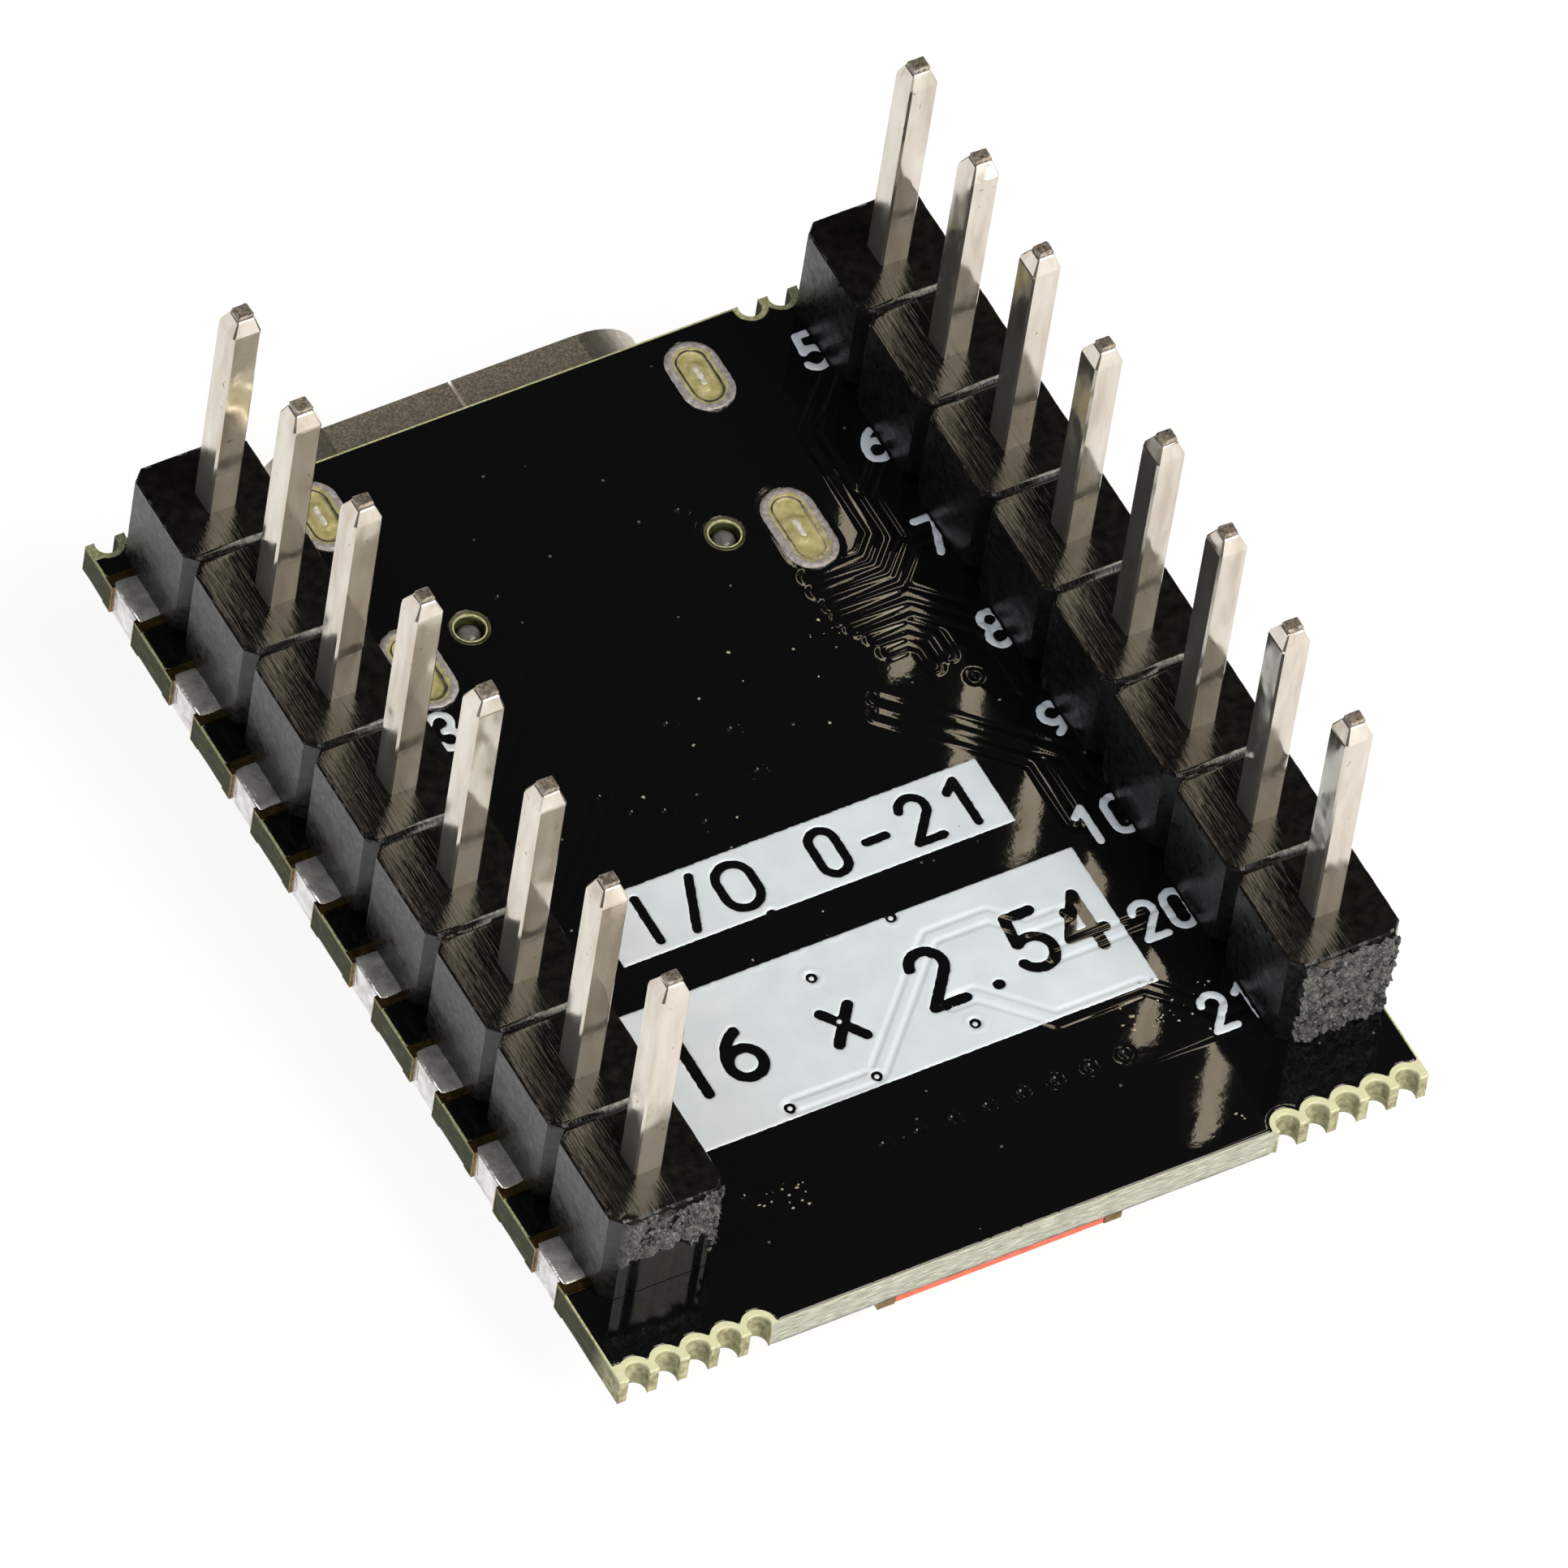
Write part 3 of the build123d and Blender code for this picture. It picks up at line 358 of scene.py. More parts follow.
def white_ink():
    made = Finish("white_ink", (0.48, 0.56, 0.62), 0.28)
    tone = made.noise((0.7, 0.7, 0.7), 6.0)
    made.colour(made.ramp(tone, [(0.25, (0.54, 0.61, 0.70)), (0.75, (0.61, 0.68, 0.77))]))
    made.bump(made.noise((0.12, 0.12, 0.12), 3.0), 0.003)
    return made.material


def glass_epoxy(name="glass_epoxy", dark=(0.016, 0.019, 0.006), mid=(0.034, 0.038, 0.013),
                light=(0.14, 0.145, 0.07), rim=True):
    """Layers of woven glass in green-yellow resin; paler where the routed edge meets the faces, and darker
    deeper down the bitten front walls, which is painted shade.
    """
    made = Finish(name, mid, 0.6, Specular_IOR_Level=0.12 if rim else 0.4)
    fibres = made.noise((0.35, 0.35, 0.03), 6.0, 0.5)
    body = made.ramp(fibres, [(0.30, dark), (0.52, mid), (0.74, light)])
    if rim:
        edge = made.span(made.height_of(), -0.12 * MM, -0.05 * MM)
        pale = made.ramp(made.noise((0.08, 0.08, 0.05), 4.0),
                         [(0.3, (0.24, 0.26, 0.11)), (0.7, (0.56, 0.57, 0.35))])
        body = made.mix(edge, body, pale)
        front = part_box("board_core")[0].y
        bitten = made.ramp(made.noise((0.12, 0.12, 0.16), 4.0),
                           [(0.3, (0.17, 0.16, 0.08)), (0.7, (0.44, 0.42, 0.27))])
        # painted shade: the bitten walls darken with depth, from pale at the top down to the darker ramp
        bitten = made.mix(made.span(made.height_of(), -0.16 * MM, -0.06 * MM), bitten, (0.58, 0.59, 0.40))
        body = made.mix(made.span(made.height_of("Y"), front + 1.1 * MM, front + 0.45 * MM), body, bitten)
    made.colour(body)
    made.vary("Roughness", fibres, 0.45, 0.70)
    made.bump(fibres, 0.02)
    return made.material


def metal(name, dark, light, roughness, grain, relief=0.003, spread=0.12, stretch=1.0, metallic=1.0):
    made = Finish(name, light, roughness, metallic)
    tone = made.noise((grain, grain, grain * stretch), 5.0, 0.3)
    made.colour(made.ramp(tone, [(0.30, dark), (0.62, light)]))
    made.vary("Roughness", made.noise((grain * 0.4, grain * 0.4, grain * 0.4 * stretch), 4.0),
              roughness - spread / 2, roughness + spread)
    made.bump(made.noise((grain * 0.25,) * 3, 3.0), relief)
    return made.material


def plastic(name, dark, light, roughness, grain=0.4, relief=0.004, spread=0.12, **sockets):
    made = Finish(name, light, roughness, **sockets)
    tone = made.noise((grain,) * 3, 5.0)
    made.colour(made.ramp(tone, [(0.32, dark), (0.68, light)]))
    made.vary("Roughness", made.noise((grain * 0.5,) * 3, 4.0), roughness - spread / 2, roughness + spread)
    made.bump(made.noise((grain * 0.15,) * 3, 3.0), relief)
    return made.material


def lens(name, colour):
    made = Finish(name, colour, 0.12, Transmission_Weight=0.55)
    made.colour(made.ramp(made.noise((0.3,) * 3, 3.0),
                          [(0.3, tuple(c * 0.8 for c in colour)), (0.7, colour)]))
    made.bump(made.noise((0.2,) * 3, 2.0), 0.004)
    return made.material


def pin_tin():
    """Dull drawn tin: blotches that run along the pin, and a few dark pits."""
    made = Finish("pin_tin", (0.66, 0.60, 0.52), 0.12, 0.9)
    drawn = made.noise((0.45, 0.45, 2.2), 3.0, 0.4)
    tone = made.ramp(drawn,
                     [(0.30, (0.56, 0.49, 0.41)), (0.50, (0.68, 0.62, 0.54)), (0.70, (0.76, 0.71, 0.64))])
    pits = made.ramp(made.noise((0.16, 0.16, 0.22), 3.0), [(0.70, (0, 0, 0)), (0.75, (1, 1, 1))])
    made.colour(made.mix(pits, tone, (0.36, 0.30, 0.24)))
    made.vary("Roughness", made.noise((0.4, 0.4, 1.2), 3.0), 0.04, 0.18)
    made.bump(made.noise((0.8, 0.8, 1.3), 1.0), 0.022)
    return made.material


def header_top():
    """The moulding's glossy top, with fine flow lines that run askew."""
    made = Finish("header_top", (0.006, 0.0055, 0.005), 0.10, Specular_IOR_Level=0.3)
    lines = made.noise((0.05, 1.6, 1.0), 3.0, 0.6)
    made.colour(made.ramp(made.noise((0.25, 0.25, 0.25), 5.0),
                          [(0.35, (0.003, 0.003, 0.003)), (0.8, (0.013, 0.011, 0.009))]))
    made.vary("Roughness", made.noise((0.5, 0.9, 0.5), 5.0), 0.06, 0.22)
    made.bump(lines, 0.008)
    made.bump(made.noise((0.6, 0.9, 0.5), 2.0), 0.006)
    return made.material


def leg_ring():
    """The tinned ring of a leg's pad, cloudy under old flux."""
    made = Finish("leg_ring", (0.30, 0.27, 0.29), 0.45, 0.15)
    cloud = made.noise((0.09, 0.09, 0.09), 5.0)
    made.colour(made.ramp(cloud,
                          [(0.30, (0.22, 0.20, 0.21)), (0.55, (0.34, 0.315, 0.33)),
                           (0.75, (0.52, 0.49, 0.51))]))
    made.vary("Roughness", cloud, 0.35, 0.55)
    made.bump(made.noise((0.05, 0.05, 0.05), 3.0), 0.006)
    return made.material


def header_torn():
    """Torn moulding: dull grey grains."""
    made = Finish("header_torn", (0.05, 0.05, 0.05), 0.6)
    grains = made.noise((0.06, 0.06, 0.06), 6.0)
    made.colour(made.ramp(grains,
                          [(0.32, (0.012, 0.012, 0.012)), (0.55, (0.06, 0.06, 0.06)),
                           (0.75, (0.22, 0.22, 0.22))]))
    made.vary("Roughness", grains, 0.35, 0.75)
    made.bump(grains, 0.03)
    return made.material


FINISHES = {
    "header_top": header_top(),
    "header_torn": header_torn(),
    # the score lips: black plastic painted light grey, a painted highlight along each score line
    "score_lip_highlight": plastic("score_lip_highlight", (0.05, 0.048, 0.045), (0.30, 0.29, 0.27), 0.34, 0.10, 0.010),
    "routed_glass": glass_epoxy("routed_glass", (0.16, 0.17, 0.13), (0.34, 0.35, 0.29),
                                (0.62, 0.62, 0.56), False),
    "bare_hole": glass_epoxy("bare_hole", (0.020, 0.019, 0.008), (0.050, 0.048, 0.020),
                             (0.10, 0.10, 0.045), False),
    "flux": plastic("flux", (0.27, 0.25, 0.10), (0.47, 0.44, 0.23), 0.12, 0.22, 0.008, 0.10),
    "leg_ring": leg_ring(),
    "leg_tip": plastic("leg_tip", (0.42, 0.41, 0.39), (0.72, 0.71, 0.68), 0.14, 0.10, 0.010),
    "crumb": plastic("crumb", (0.20, 0.17, 0.11), (0.50, 0.46, 0.36), 0.4, 0.05),
    "glass_epoxy": glass_epoxy(),
    "black_mask": black_mask(),
    "white_ink": white_ink(),
    "gold_plating": metal("gold_plating", (0.10, 0.06, 0.02), (0.26, 0.17, 0.06), 0.32, 0.2, 0.006),
    "tin_plating": metal("tin_plating", (0.52, 0.51, 0.50), (0.76, 0.75, 0.73), 0.26, 0.4),
    "copper": metal("copper", (0.52, 0.26, 0.14), (0.80, 0.45, 0.28), 0.35, 0.4),
    "solder": metal("solder", (0.52, 0.50, 0.50), (0.84, 0.82, 0.82), 0.20, 0.30, 0.006, metallic=0.75),
    "header_plastic": plastic("header_plastic", (0.0035, 0.0035, 0.0035), (0.006, 0.006, 0.006),
                              0.28, 0.3, 0.0035),
    "pin_tin": pin_tin(),
    "pin_shear": metal("pin_shear", (0.12, 0.09, 0.07), (0.46, 0.41, 0.35), 0.34, 0.07, 0.02),
    # the pegs are the socket's black plastic; this lighter grey copy of it is painted light
    "peg_grey": plastic("peg_grey", (0.07, 0.07, 0.075), (0.14, 0.14, 0.145), 0.16, 0.2),
    "socket_steel": metal("socket_steel", (0.66, 0.59, 0.50), (0.76, 0.68, 0.58), 0.40, 0.12, 0.002),
    "socket_plastic": plastic("socket_plastic", (0.012, 0.012, 0.012), (0.022, 0.022, 0.022), 0.45),
    "contact_gold": metal("contact_gold", (0.70, 0.50, 0.20), (0.92, 0.70, 0.34), 0.22, 0.4),
    "chip_epoxy": plastic("chip_epoxy", (0.012, 0.012, 0.013), (0.024, 0.024, 0.025), 0.55, 0.3, 0.008),
    "ceramic_tan": plastic("ceramic_tan", (0.34, 0.24, 0.14), (0.46, 0.34, 0.22), 0.5, 0.2),
    "crystal_steel": metal("crystal_steel", (0.58, 0.57, 0.55), (0.74, 0.73, 0.71), 0.28, 0.5),
    "antenna_red": plastic("antenna_red", (0.52, 0.07, 0.03), (0.72, 0.14, 0.07), 0.42, 0.3),
    "ceramic_white": plastic("ceramic_white", (0.66, 0.65, 0.62), (0.80, 0.79, 0.76), 0.5, 0.2),
    "resistor_black": plastic("resistor_black", (0.010, 0.010, 0.010), (0.020, 0.020, 0.020), 0.4, 0.2),
    "ceramic_grey": plastic("ceramic_grey", (0.16, 0.15, 0.14), (0.25, 0.24, 0.23), 0.5, 0.2),
    "led_red": lens("led_red", (0.75, 0.16, 0.10)),
    "led_blue": lens("led_blue", (0.70, 0.74, 0.80)),
    "button_plastic": plastic("button_plastic", (0.014, 0.014, 0.014), (0.026, 0.026, 0.026), 0.5),
    "button_steel": metal("button_steel", (0.55, 0.54, 0.52), (0.74, 0.73, 0.71), 0.30, 0.6),
    "plunger_plastic": plastic("plunger_plastic", (0.60, 0.57, 0.50), (0.72, 0.69, 0.62), 0.45),
    "dome_steel": metal("dome_steel", (0.55, 0.54, 0.52), (0.76, 0.75, 0.73), 0.25, 0.4),
}


# ---- every CAD node gets its slot's finish, and the listed ones a small broken edge ----
def dress_nodes():
    for part in frame["record"]["subparts"]:
        made = nodes[part["node"]]
        made.data.materials.clear()
        made.data.materials.append(FINISHES[part["material_slot"]])


BEVELS = {  # millimetres
    "usb_shell": 0.03, "usb_insulator": 0.03,
    "processor_package": 0.02, "regulator_body": 0.02, "diode_body": 0.02, "crystal_base": 0.02,
    "antenna_block": 0.02, "antenna_terminals": 0.02, "capacitor_bodies": 0.015, "capacitor_terminals": 0.03,
    "resistor_bodies": 0.01, "resistor_films": 0.008, "resistor_terminals": 0.02, "inductor_body": 0.02,
    "inductor_terminals": 0.03, "led_bases": 0.01, "led_terminals": 0.01, "regulator_leads": 0.02,
    "diode_leads": 0.02, "boot_button_base": 0.03, "reset_button_base": 0.03, "boot_button_cover": 0.02,
    "reset_button_cover": 0.02, "boot_button_terminals": 0.02, "reset_button_terminals": 0.02,
}


def break_edges():
    for node, width in BEVELS.items():
        made = nodes[node]
        weld = made.modifiers.new("weld", "WELD")
        weld.merge_threshold = 1e-6
        bevel = made.modifiers.new("bevel", "BEVEL")
        bevel.width = width * MM
        bevel.segments = 2
        bevel.limit_method = "ANGLE"
        bevel.angle_limit = math.radians(28)
        bevel.use_clamp_overlap = True
        bevel.harden_normals = True


dress_nodes()
break_edges()

# ---- solder mask of the pin side, with the relief of the copper under it ----
copper = Outline("copper_pin_side", box_mm("copper_pin_side")[1][2])
legend = Outline("legend_pin_side", box_mm("legend_pin_side")[1][2])
via_places = [((low + high) / 2)[:2] for low, high in islands("via_barrels")]
# each via's place, and whether it is clear of the ink
vias = [(x, y, legend.distance(x, y) < -0.2) for x, y in via_places]


def via_relief(x, y):
    """A via under the ink: a low raised ring with a dimple in it. Elsewhere a seat for its cap."""
    relief = 0.0
    for vx, vy, clear in vias:
        reach = math.hypot(x - vx, y - vy)
        if reach < 0.45 and clear:
            relief -= 0.032 * min(max((0.21 - reach) / 0.06, 0.0), 1.0)
        elif reach < 0.45:
            relief += 0.010 * math.exp(-((reach - 0.20) / 0.05) ** 2) - 0.034 * math.exp(-(reach / 0.08) ** 2)
    return relief


def mask_height(x, y):
    """0 over copper, lower where the copper is cleared away."""
    clear = -copper.distance(x, y)
    sunk = min(max((clear + 0.02) / 0.07, 0.0), 1.0)
    return -0.016 * sunk * sunk * (3 - 2 * sunk) + via_relief(x, y)


def build_mask():
    low, high = box_mm("solder_mask_pin_side")
    outline = Outline("solder_mask_pin_side", high[2])
    fall = 0.05

    def height(x, y, inside):
        rounded = min(max(inside / fall, 0.0), 1.0)
        return mask_height(x, y) - 0.02 * (1 - rounded) ** 2

    skin = Skin(outline.distance, height, (low[0], high[0], low[1], high[1]), 0.045)
    made = mesh_object("mask_pin_side", *skin.build(-0.04), FINISHES["black_mask"])
    return finish_piece(made, "board", "black_mask", "solder_mask_pin_side", "copper_pin_side")


def build_via_caps():
    """Where the mask tents a via: a smooth ring round a deep dimple, finer than the sheet can show it."""
    profile = [(0.0, -0.028), (0.035, -0.027), (0.065, -0.018), (0.09, -0.004), (0.12, 0.006), (0.155, 0.007),
               (0.20, 0.001),
               (0.24, -0.012)]
    points, faces, count = [], [], 20
    for x, y, clear in vias:
        if not clear:
            continue
        start = len(points)
        points.append((x, y, profile[0][1]))
        for radius, z in profile[1:]:
            for k in range(count):
                turn = 2 * math.pi * k / count
                points.append((x + radius * math.cos(turn), y + radius * math.sin(turn), z + 0.003))
        faces += [[start, start + 1 + k, start + 1 + (k + 1) % count] for k in range(count)]
        for row in range(len(profile) - 2):
            for k in range(count):
                a, b = start + 1 + row * count + k, start + 1 + row * count + (k + 1) % count
                faces.append([b, a, a + count, b + count])
    made = mesh_object("via_caps", points, faces, FINISHES["black_mask"])
    return finish_piece(made, "board", "black_mask")


def build_ink():
    """The printed legend: it follows the relief under it, and its edges are a little uneven."""
    via_near = [(x, y) for x, y in via_places if legend.distance(x + 0.3, y) > 0]

    def signed(x, y):
        ragged = (0.012 * noise.noise(Vector((x * 9, y * 9, 0)))
                  + 0.008 * noise.noise(Vector((x * 22, y * 22, 3))))
        inside = legend.distance(x, y) + ragged
        for vx, vy in via_near:
            reach = math.hypot(x - vx, y - vy)
            if reach < 0.2:
                inside = max(inside, 0.055 - reach)
        return inside

    def height(x, y, inside):
        rounded = min(max(inside / 0.05, 0.0), 1.0)
        ridge = 0.5 * (mask_height(x, y) - via_relief(x, y))      # ink flows thicker over the copper
        return mask_height(x, y) + ridge + 0.006 + 0.014 * (1 - (1 - rounded) ** 2)

    for number, loops in enumerate(group_loops(legend)):
        skin = Skin(signed, height, loops, 0.035)
        made = mesh_object(f"ink_{number:02d}", *skin.build(-0.03), FINISHES["white_ink"])
        finish_piece(made, "board", "white_ink", "legend_pin_side")


def group_loops(outline):
    """Plan rectangles that hold the ink: loops whose rectangles touch share one."""
    found = []
    for loop in outline.loops():
        xs, ys = zip(*loop)
        x0, x1, y0, y1 = min(xs) - 0.06, max(xs) + 0.06, min(ys) - 0.06, max(ys) + 0.06
        merged = True
        while merged:
            merged = False
            for other in found:
                if x0 < other[1] and other[0] < x1 and y0 < other[3] and other[2] < y1:
                    found.remove(other)
                    x0, x1 = min(x0, other[0]), max(x1, other[1])
                    y0, y1 = min(y0, other[2]), max(y1, other[3])
                    merged = True
                    break
        found.append((x0, x1, y0, y1))
    return found


build_mask()
build_via_caps()
build_ink()


# ---- board core: routed walls with fibres, and a rough cut along the front ----
def resampled(loop, step):
    """The closed loop with points no further apart than step."""
    found = []
    for (ax, ay), (bx, by) in zip(loop, loop[1:] + loop[:1]):
        count = max(1, math.ceil(math.hypot(bx - ax, by - ay) / step))
        found += [(ax + (bx - ax) * k / count, ay + (by - ay) * k / count) for k in range(count)]
    return found


def area(loop):
    return sum(ax * by - bx * ay for (ax, ay), (bx, by) in zip(loop, loop[1:] + loop[:1])) / 2


def build_core():
    low, high = box_mm("board_core")
    middle = (low[0] + high[0]) / 2
    cut_half = 5.7                           # the rough cut lies between the bitten corners
    loops = Outline("board_core", high[2]).loops()
    outer = max(loops, key=lambda loop: abs(area(loop)))
    points, faces, kinds = [], [], []
    rims = {"top": [], "bottom": []}
    levels = np.linspace(high[2], low[2], 11)
    for loop in loops:
        is_outer = loop is outer
        ring = resampled(loop, 0.06 if is_outer else 0.12)
        if (area(ring) > 0) != is_outer:
            ring.reverse()
        start, count = len(points), len(ring)
        for z in levels:
            for x, y in ring:
                cut = is_outer and y < low[1] + 0.03 and abs(x - middle) < cut_half
                if cut:
                    y += (0.016 * (1 + rough((x * 0.6, 0, z * 9), 1.6))
                          + 0.010 * (1 + rough((x, 0, z * 4), 7.0, 5)))
                elif is_outer:
                    x += (0.006 if x < middle else -0.006) * (1 + rough((x, y * 0.5, z * 6), 5.0, 2))
                points.append((x, y, z))
                kinds.append(cut)
        for row in range(len(levels) - 1):
            for k in range(count):
                a, b = start + row * count + k, start + row * count + (k + 1) % count
                faces.append([a, a + count, b + count, b])
        rims["top"].append(range(start, start + count))
        rims["bottom"].append(range(start + (len(levels) - 1) * count, start + len(levels) * count))
    walls = len(faces)
    for name, rings in rims.items():
        order = [vert for ring in rings for vert in ring]
        flat = [[Vector((*points[vert][:2], 0)) for vert in ring] for ring in rings]
        for triangle in tessellate_polygon(flat):
            a, b, c = (order[k] for k in triangle)
            (ax, ay, _), (bx, by, _), (cx, cy, _) = points[a], points[b], points[c]
            upward = (bx - ax) * (cy - ay) - (by - ay) * (cx - ax) > 0
            faces.append([a, b, c] if upward == (name == "top") else [a, c, b])
    made = mesh_object("board_body", points, faces, FINISHES["glass_epoxy"])
    made.data.materials.append(FINISHES["routed_glass"])
    for number, polygon in enumerate(made.data.polygons):
        if number >= walls:
            polygon.use_smooth = False
        if number < walls and all(kinds[vert] for vert in polygon.vertices):
            polygon.material_index = 1
    return finish_piece(made, "board", "glass_epoxy", "board_core")


# ---- solder in the edge half-holes: a bumpy fill that laps onto the pad ----
def build_edge_solder():
    points, faces = [], []
    for number, (low, high) in enumerate(islands("edge_solder")):
        inward = 1 if low[0] < 0 else -1
        edge = box_mm("board_core")[0][0] if inward > 0 else box_mm("board_core")[1][0]
        housing = box_mm("header_housing_left")[0][0] if inward > 0 else box_mm("header_housing_right")[1][0]
        middle = (low[1] + high[1]) / 2
        reach = abs(housing - edge) + 0.06
        path = [(reach, 0.03), (reach * 0.6, 0.05), (0.16, 0.055), (0.07, 0.03), (0.015, -0.05),
                (0.012, -0.25),
                (0.02, -0.50), (0.03, -0.74), (0.10, -0.80)]
        start, columns = len(points), 25
        for row, (inset, z) in enumerate(path):
            on_top = row < 4
            half = 0.58 if on_top else 0.445
            for column in range(columns):
                u = column / (columns - 1) * 2 - 1
                lump = (rough((u * 1.3, row * 0.35, number * 3.1), 1.6)
                        + 0.5 * rough((u, row * 0.5, number), 4.0, 3))
                sink = abs(u) ** 5
                wander = 0.06 * rough((row * 0.4, number * 1.7, u), 1.0, 8)
                if on_top:
                    point = (inset + 0.01 * lump, half * u + wander,
                             z * (1 - sink) + 0.022 * lump * (1 - sink) - 0.012 * sink)
                else:
                    point = (max(inset + 0.018 * (1 + lump) + 0.10 * sink, 0.002), half * u + wander * 0.3, z)
                points.append((edge + inward * point[0], middle + point[1], point[2]))
        for row in range(len(path) - 1):
            for column in range(columns - 1):
                a = start + row * columns + column
                face = [a, a + columns, a + columns + 1, a + 1]
                faces.append(face if inward > 0 else face[::-1])
    made = mesh_object("edge_solder_laps", points, faces, FINISHES["solder"])
    smooth = made.modifiers.new("round", "SUBSURF")
    smooth.levels = smooth.render_levels = 1
    return finish_piece(made, "board", "solder")


# ---- the soldered legs of the socket: grey ring, amber flux, and the tip of the leg ----
def stadium_distance(x, y, cx, cy, width, length):
    """Positive inside a round-ended slot that is long in Y."""
    over = max(abs(y - cy) - (length - width) / 2, 0.0)
    return width / 2 - math.hypot(x - cx, over)


def build_leg_joints():
    for number, (low, high) in enumerate(islands("plated_usb_slots")):
        cx, cy = (low[0] + high[0]) / 2, (low[1] + high[1]) / 2
        width, length = high[0] - low[0], high[1] - low[1]
        width += 0.14                        # tin creeps a little past the pad
        slot_w, slot_l = 0.76, length - 0.36
        tip_half = 0.16 + 0.03 * (number % 2)

        def outer(x, y):
            return stadium_distance(x, y, cx, cy, width, length) + 0.012 * rough((x, y, number), 9.0)

        def inner(x, y):
            return stadium_distance(x, y, cx, cy, slot_w, slot_l) + 0.02 * rough((x, y, number), 5.0)

        def ring_signed(x, y):
            return min(outer(x, y), 0.06 - inner(x, y))

        def ring_height(x, y, _):
            across = min(max(min(outer(x, y), -inner(x, y) + 0.02) / 0.08, -1.0), 1.0)
            return -0.01 + 0.035 * math.sin(across * math.pi / 2) + 0.004 * rough((x, y, 0), 14.0)

        def flux_height(x, y, _):
            from_tip = max(-stadium_distance(x, y, cx, cy, 0.20, 2 * tip_half + 0.2), 0.0)
            climb = math.exp(-(from_tip / 0.09) ** 2)
            wall = math.exp(-(max(inner(x, y), 0.0) / 0.07) ** 2)
            return -0.05 + 0.050 * climb + 0.066 * wall + 0.012 * rough((x, y, number), 6.0, 4)

        def tip_signed(x, y):
            near = stadium_distance(x, y, cx, cy, 0.17, 2 * tip_half + 0.17)
            return near + 0.02 * rough((x, y, number), 8.0, 9)

        def tip_height(x, y, inside):
            dome = min(max(inside / 0.10, 0.0), 1.0)
            return -0.03 + 0.05 * math.sqrt(1 - (1 - dome) ** 2) + 0.02 * rough((x, y, number), 9.0, 1)

        bounds = (cx - width / 2, cx + width / 2, low[1], high[1])
        for name, signed, height, finish in (
            ("ring", ring_signed, ring_height, "leg_ring"),
            ("flux", lambda x, y: inner(x, y) + 0.05, flux_height, "flux"),
            ("tip", tip_signed, tip_height, "leg_tip"),
        ):
            skin = Skin(signed, height, bounds, 0.03)
            made = mesh_object(f"leg_{name}_{number}", *skin.build(-0.14), FINISHES[finish])
            made.data.set_sharp_from_angle(angle=SHARP)
            finish_piece(made, "board", "solder")


def build_pegs():
    """The socket's two plastic pegs, seen down their holes, and the bare board round each hole."""
    peg_top = -0.14
    for number, loop in enumerate(peg_loops()):
        cx, cy = np.mean([p[0] for p in loop]), np.mean([p[1] for p in loop])
        rim, mouth, count = 0.425, 0.33, 40
        points, faces = [], []
        for radius, z in ((rim, -0.020), (rim - 0.03, -0.034), (mouth, -0.044), (mouth, -0.30)):
            for k in range(count):
                turn = 2 * math.pi * k / count
                wobble = radius + 0.008 * rough((math.cos(turn), math.sin(turn), radius * 5), 1.5, number)
                points.append((cx + wobble * math.cos(turn), cy + wobble * math.sin(turn), z))
        for row in range(3):
            for k in range(count):
                a, b = row * count + k, row * count + (k + 1) % count
                faces.append([a, b, b + count, a + count])
        made = mesh_object(f"peg_hole_{number}", points, faces, FINISHES["bare_hole"])
        finish_piece(made, "board", "glass_epoxy")
        points, faces = [(cx, cy, peg_top - 0.005)], []
        for radius, drop in ((0.08, 0.012), (0.16, 0.035), (0.22, 0.075), (0.245, 0.13), (0.25, 0.4)):
            for k in range(24):
                turn = 2 * math.pi * k / 24
                points.append((cx + radius * math.cos(turn), cy + radius * math.sin(turn), peg_top - drop))
        faces += [[0, 1 + k, 1 + (k + 1) % 24] for k in range(24)]
        for row in range(4):
            for k in range(24):
                a, b = 1 + row * 24 + k, 1 + row * 24 + (k + 1) % 24
                faces.append([b, a, a + 24, b + 24])
        # the peg tips wear a lighter grey copy of the socket's black plastic: painted light
        made = mesh_object(f"peg_tip_{number}", points, faces, FINISHES["peg_grey"])
        finish_piece(made, "board", "socket_plastic")


def peg_loops():
    """Round holes of the board that are neither vias nor pin holes: 0.65 mm across."""
    across = 0.65
    found = []
    for loop in Outline("board_core", box_mm("board_core")[1][2]).loops():
        xs, ys = zip(*loop)
        if abs(max(xs) - min(xs) - across) < 0.03 and abs(max(ys) - min(ys) - across) < 0.03:
            found.append(loop)
    return found


# ---- header mouldings: rounded tops, score lines, and ends snapped off a longer strip ----
NOTCH = 0.25                                 # depth of the V between two segments
SHARP = math.radians(34)                     # edges sharper than this aren't smoothed over


TOP_INSET, WALL_INSET = 0.015, 0.012         # room for the wear, so that it stays inside the CAD box


def housing_shape(side):
    """Box of the moulding and the y of each score line."""
    low, high = box_mm(f"header_housing_{side}")
    ys = sorted((a[1] + b[1]) / 2 for a, b in islands(f"header_pins_{side}"))
    return low, high, [(a + b) / 2 for a, b in zip(ys, ys[1:])]


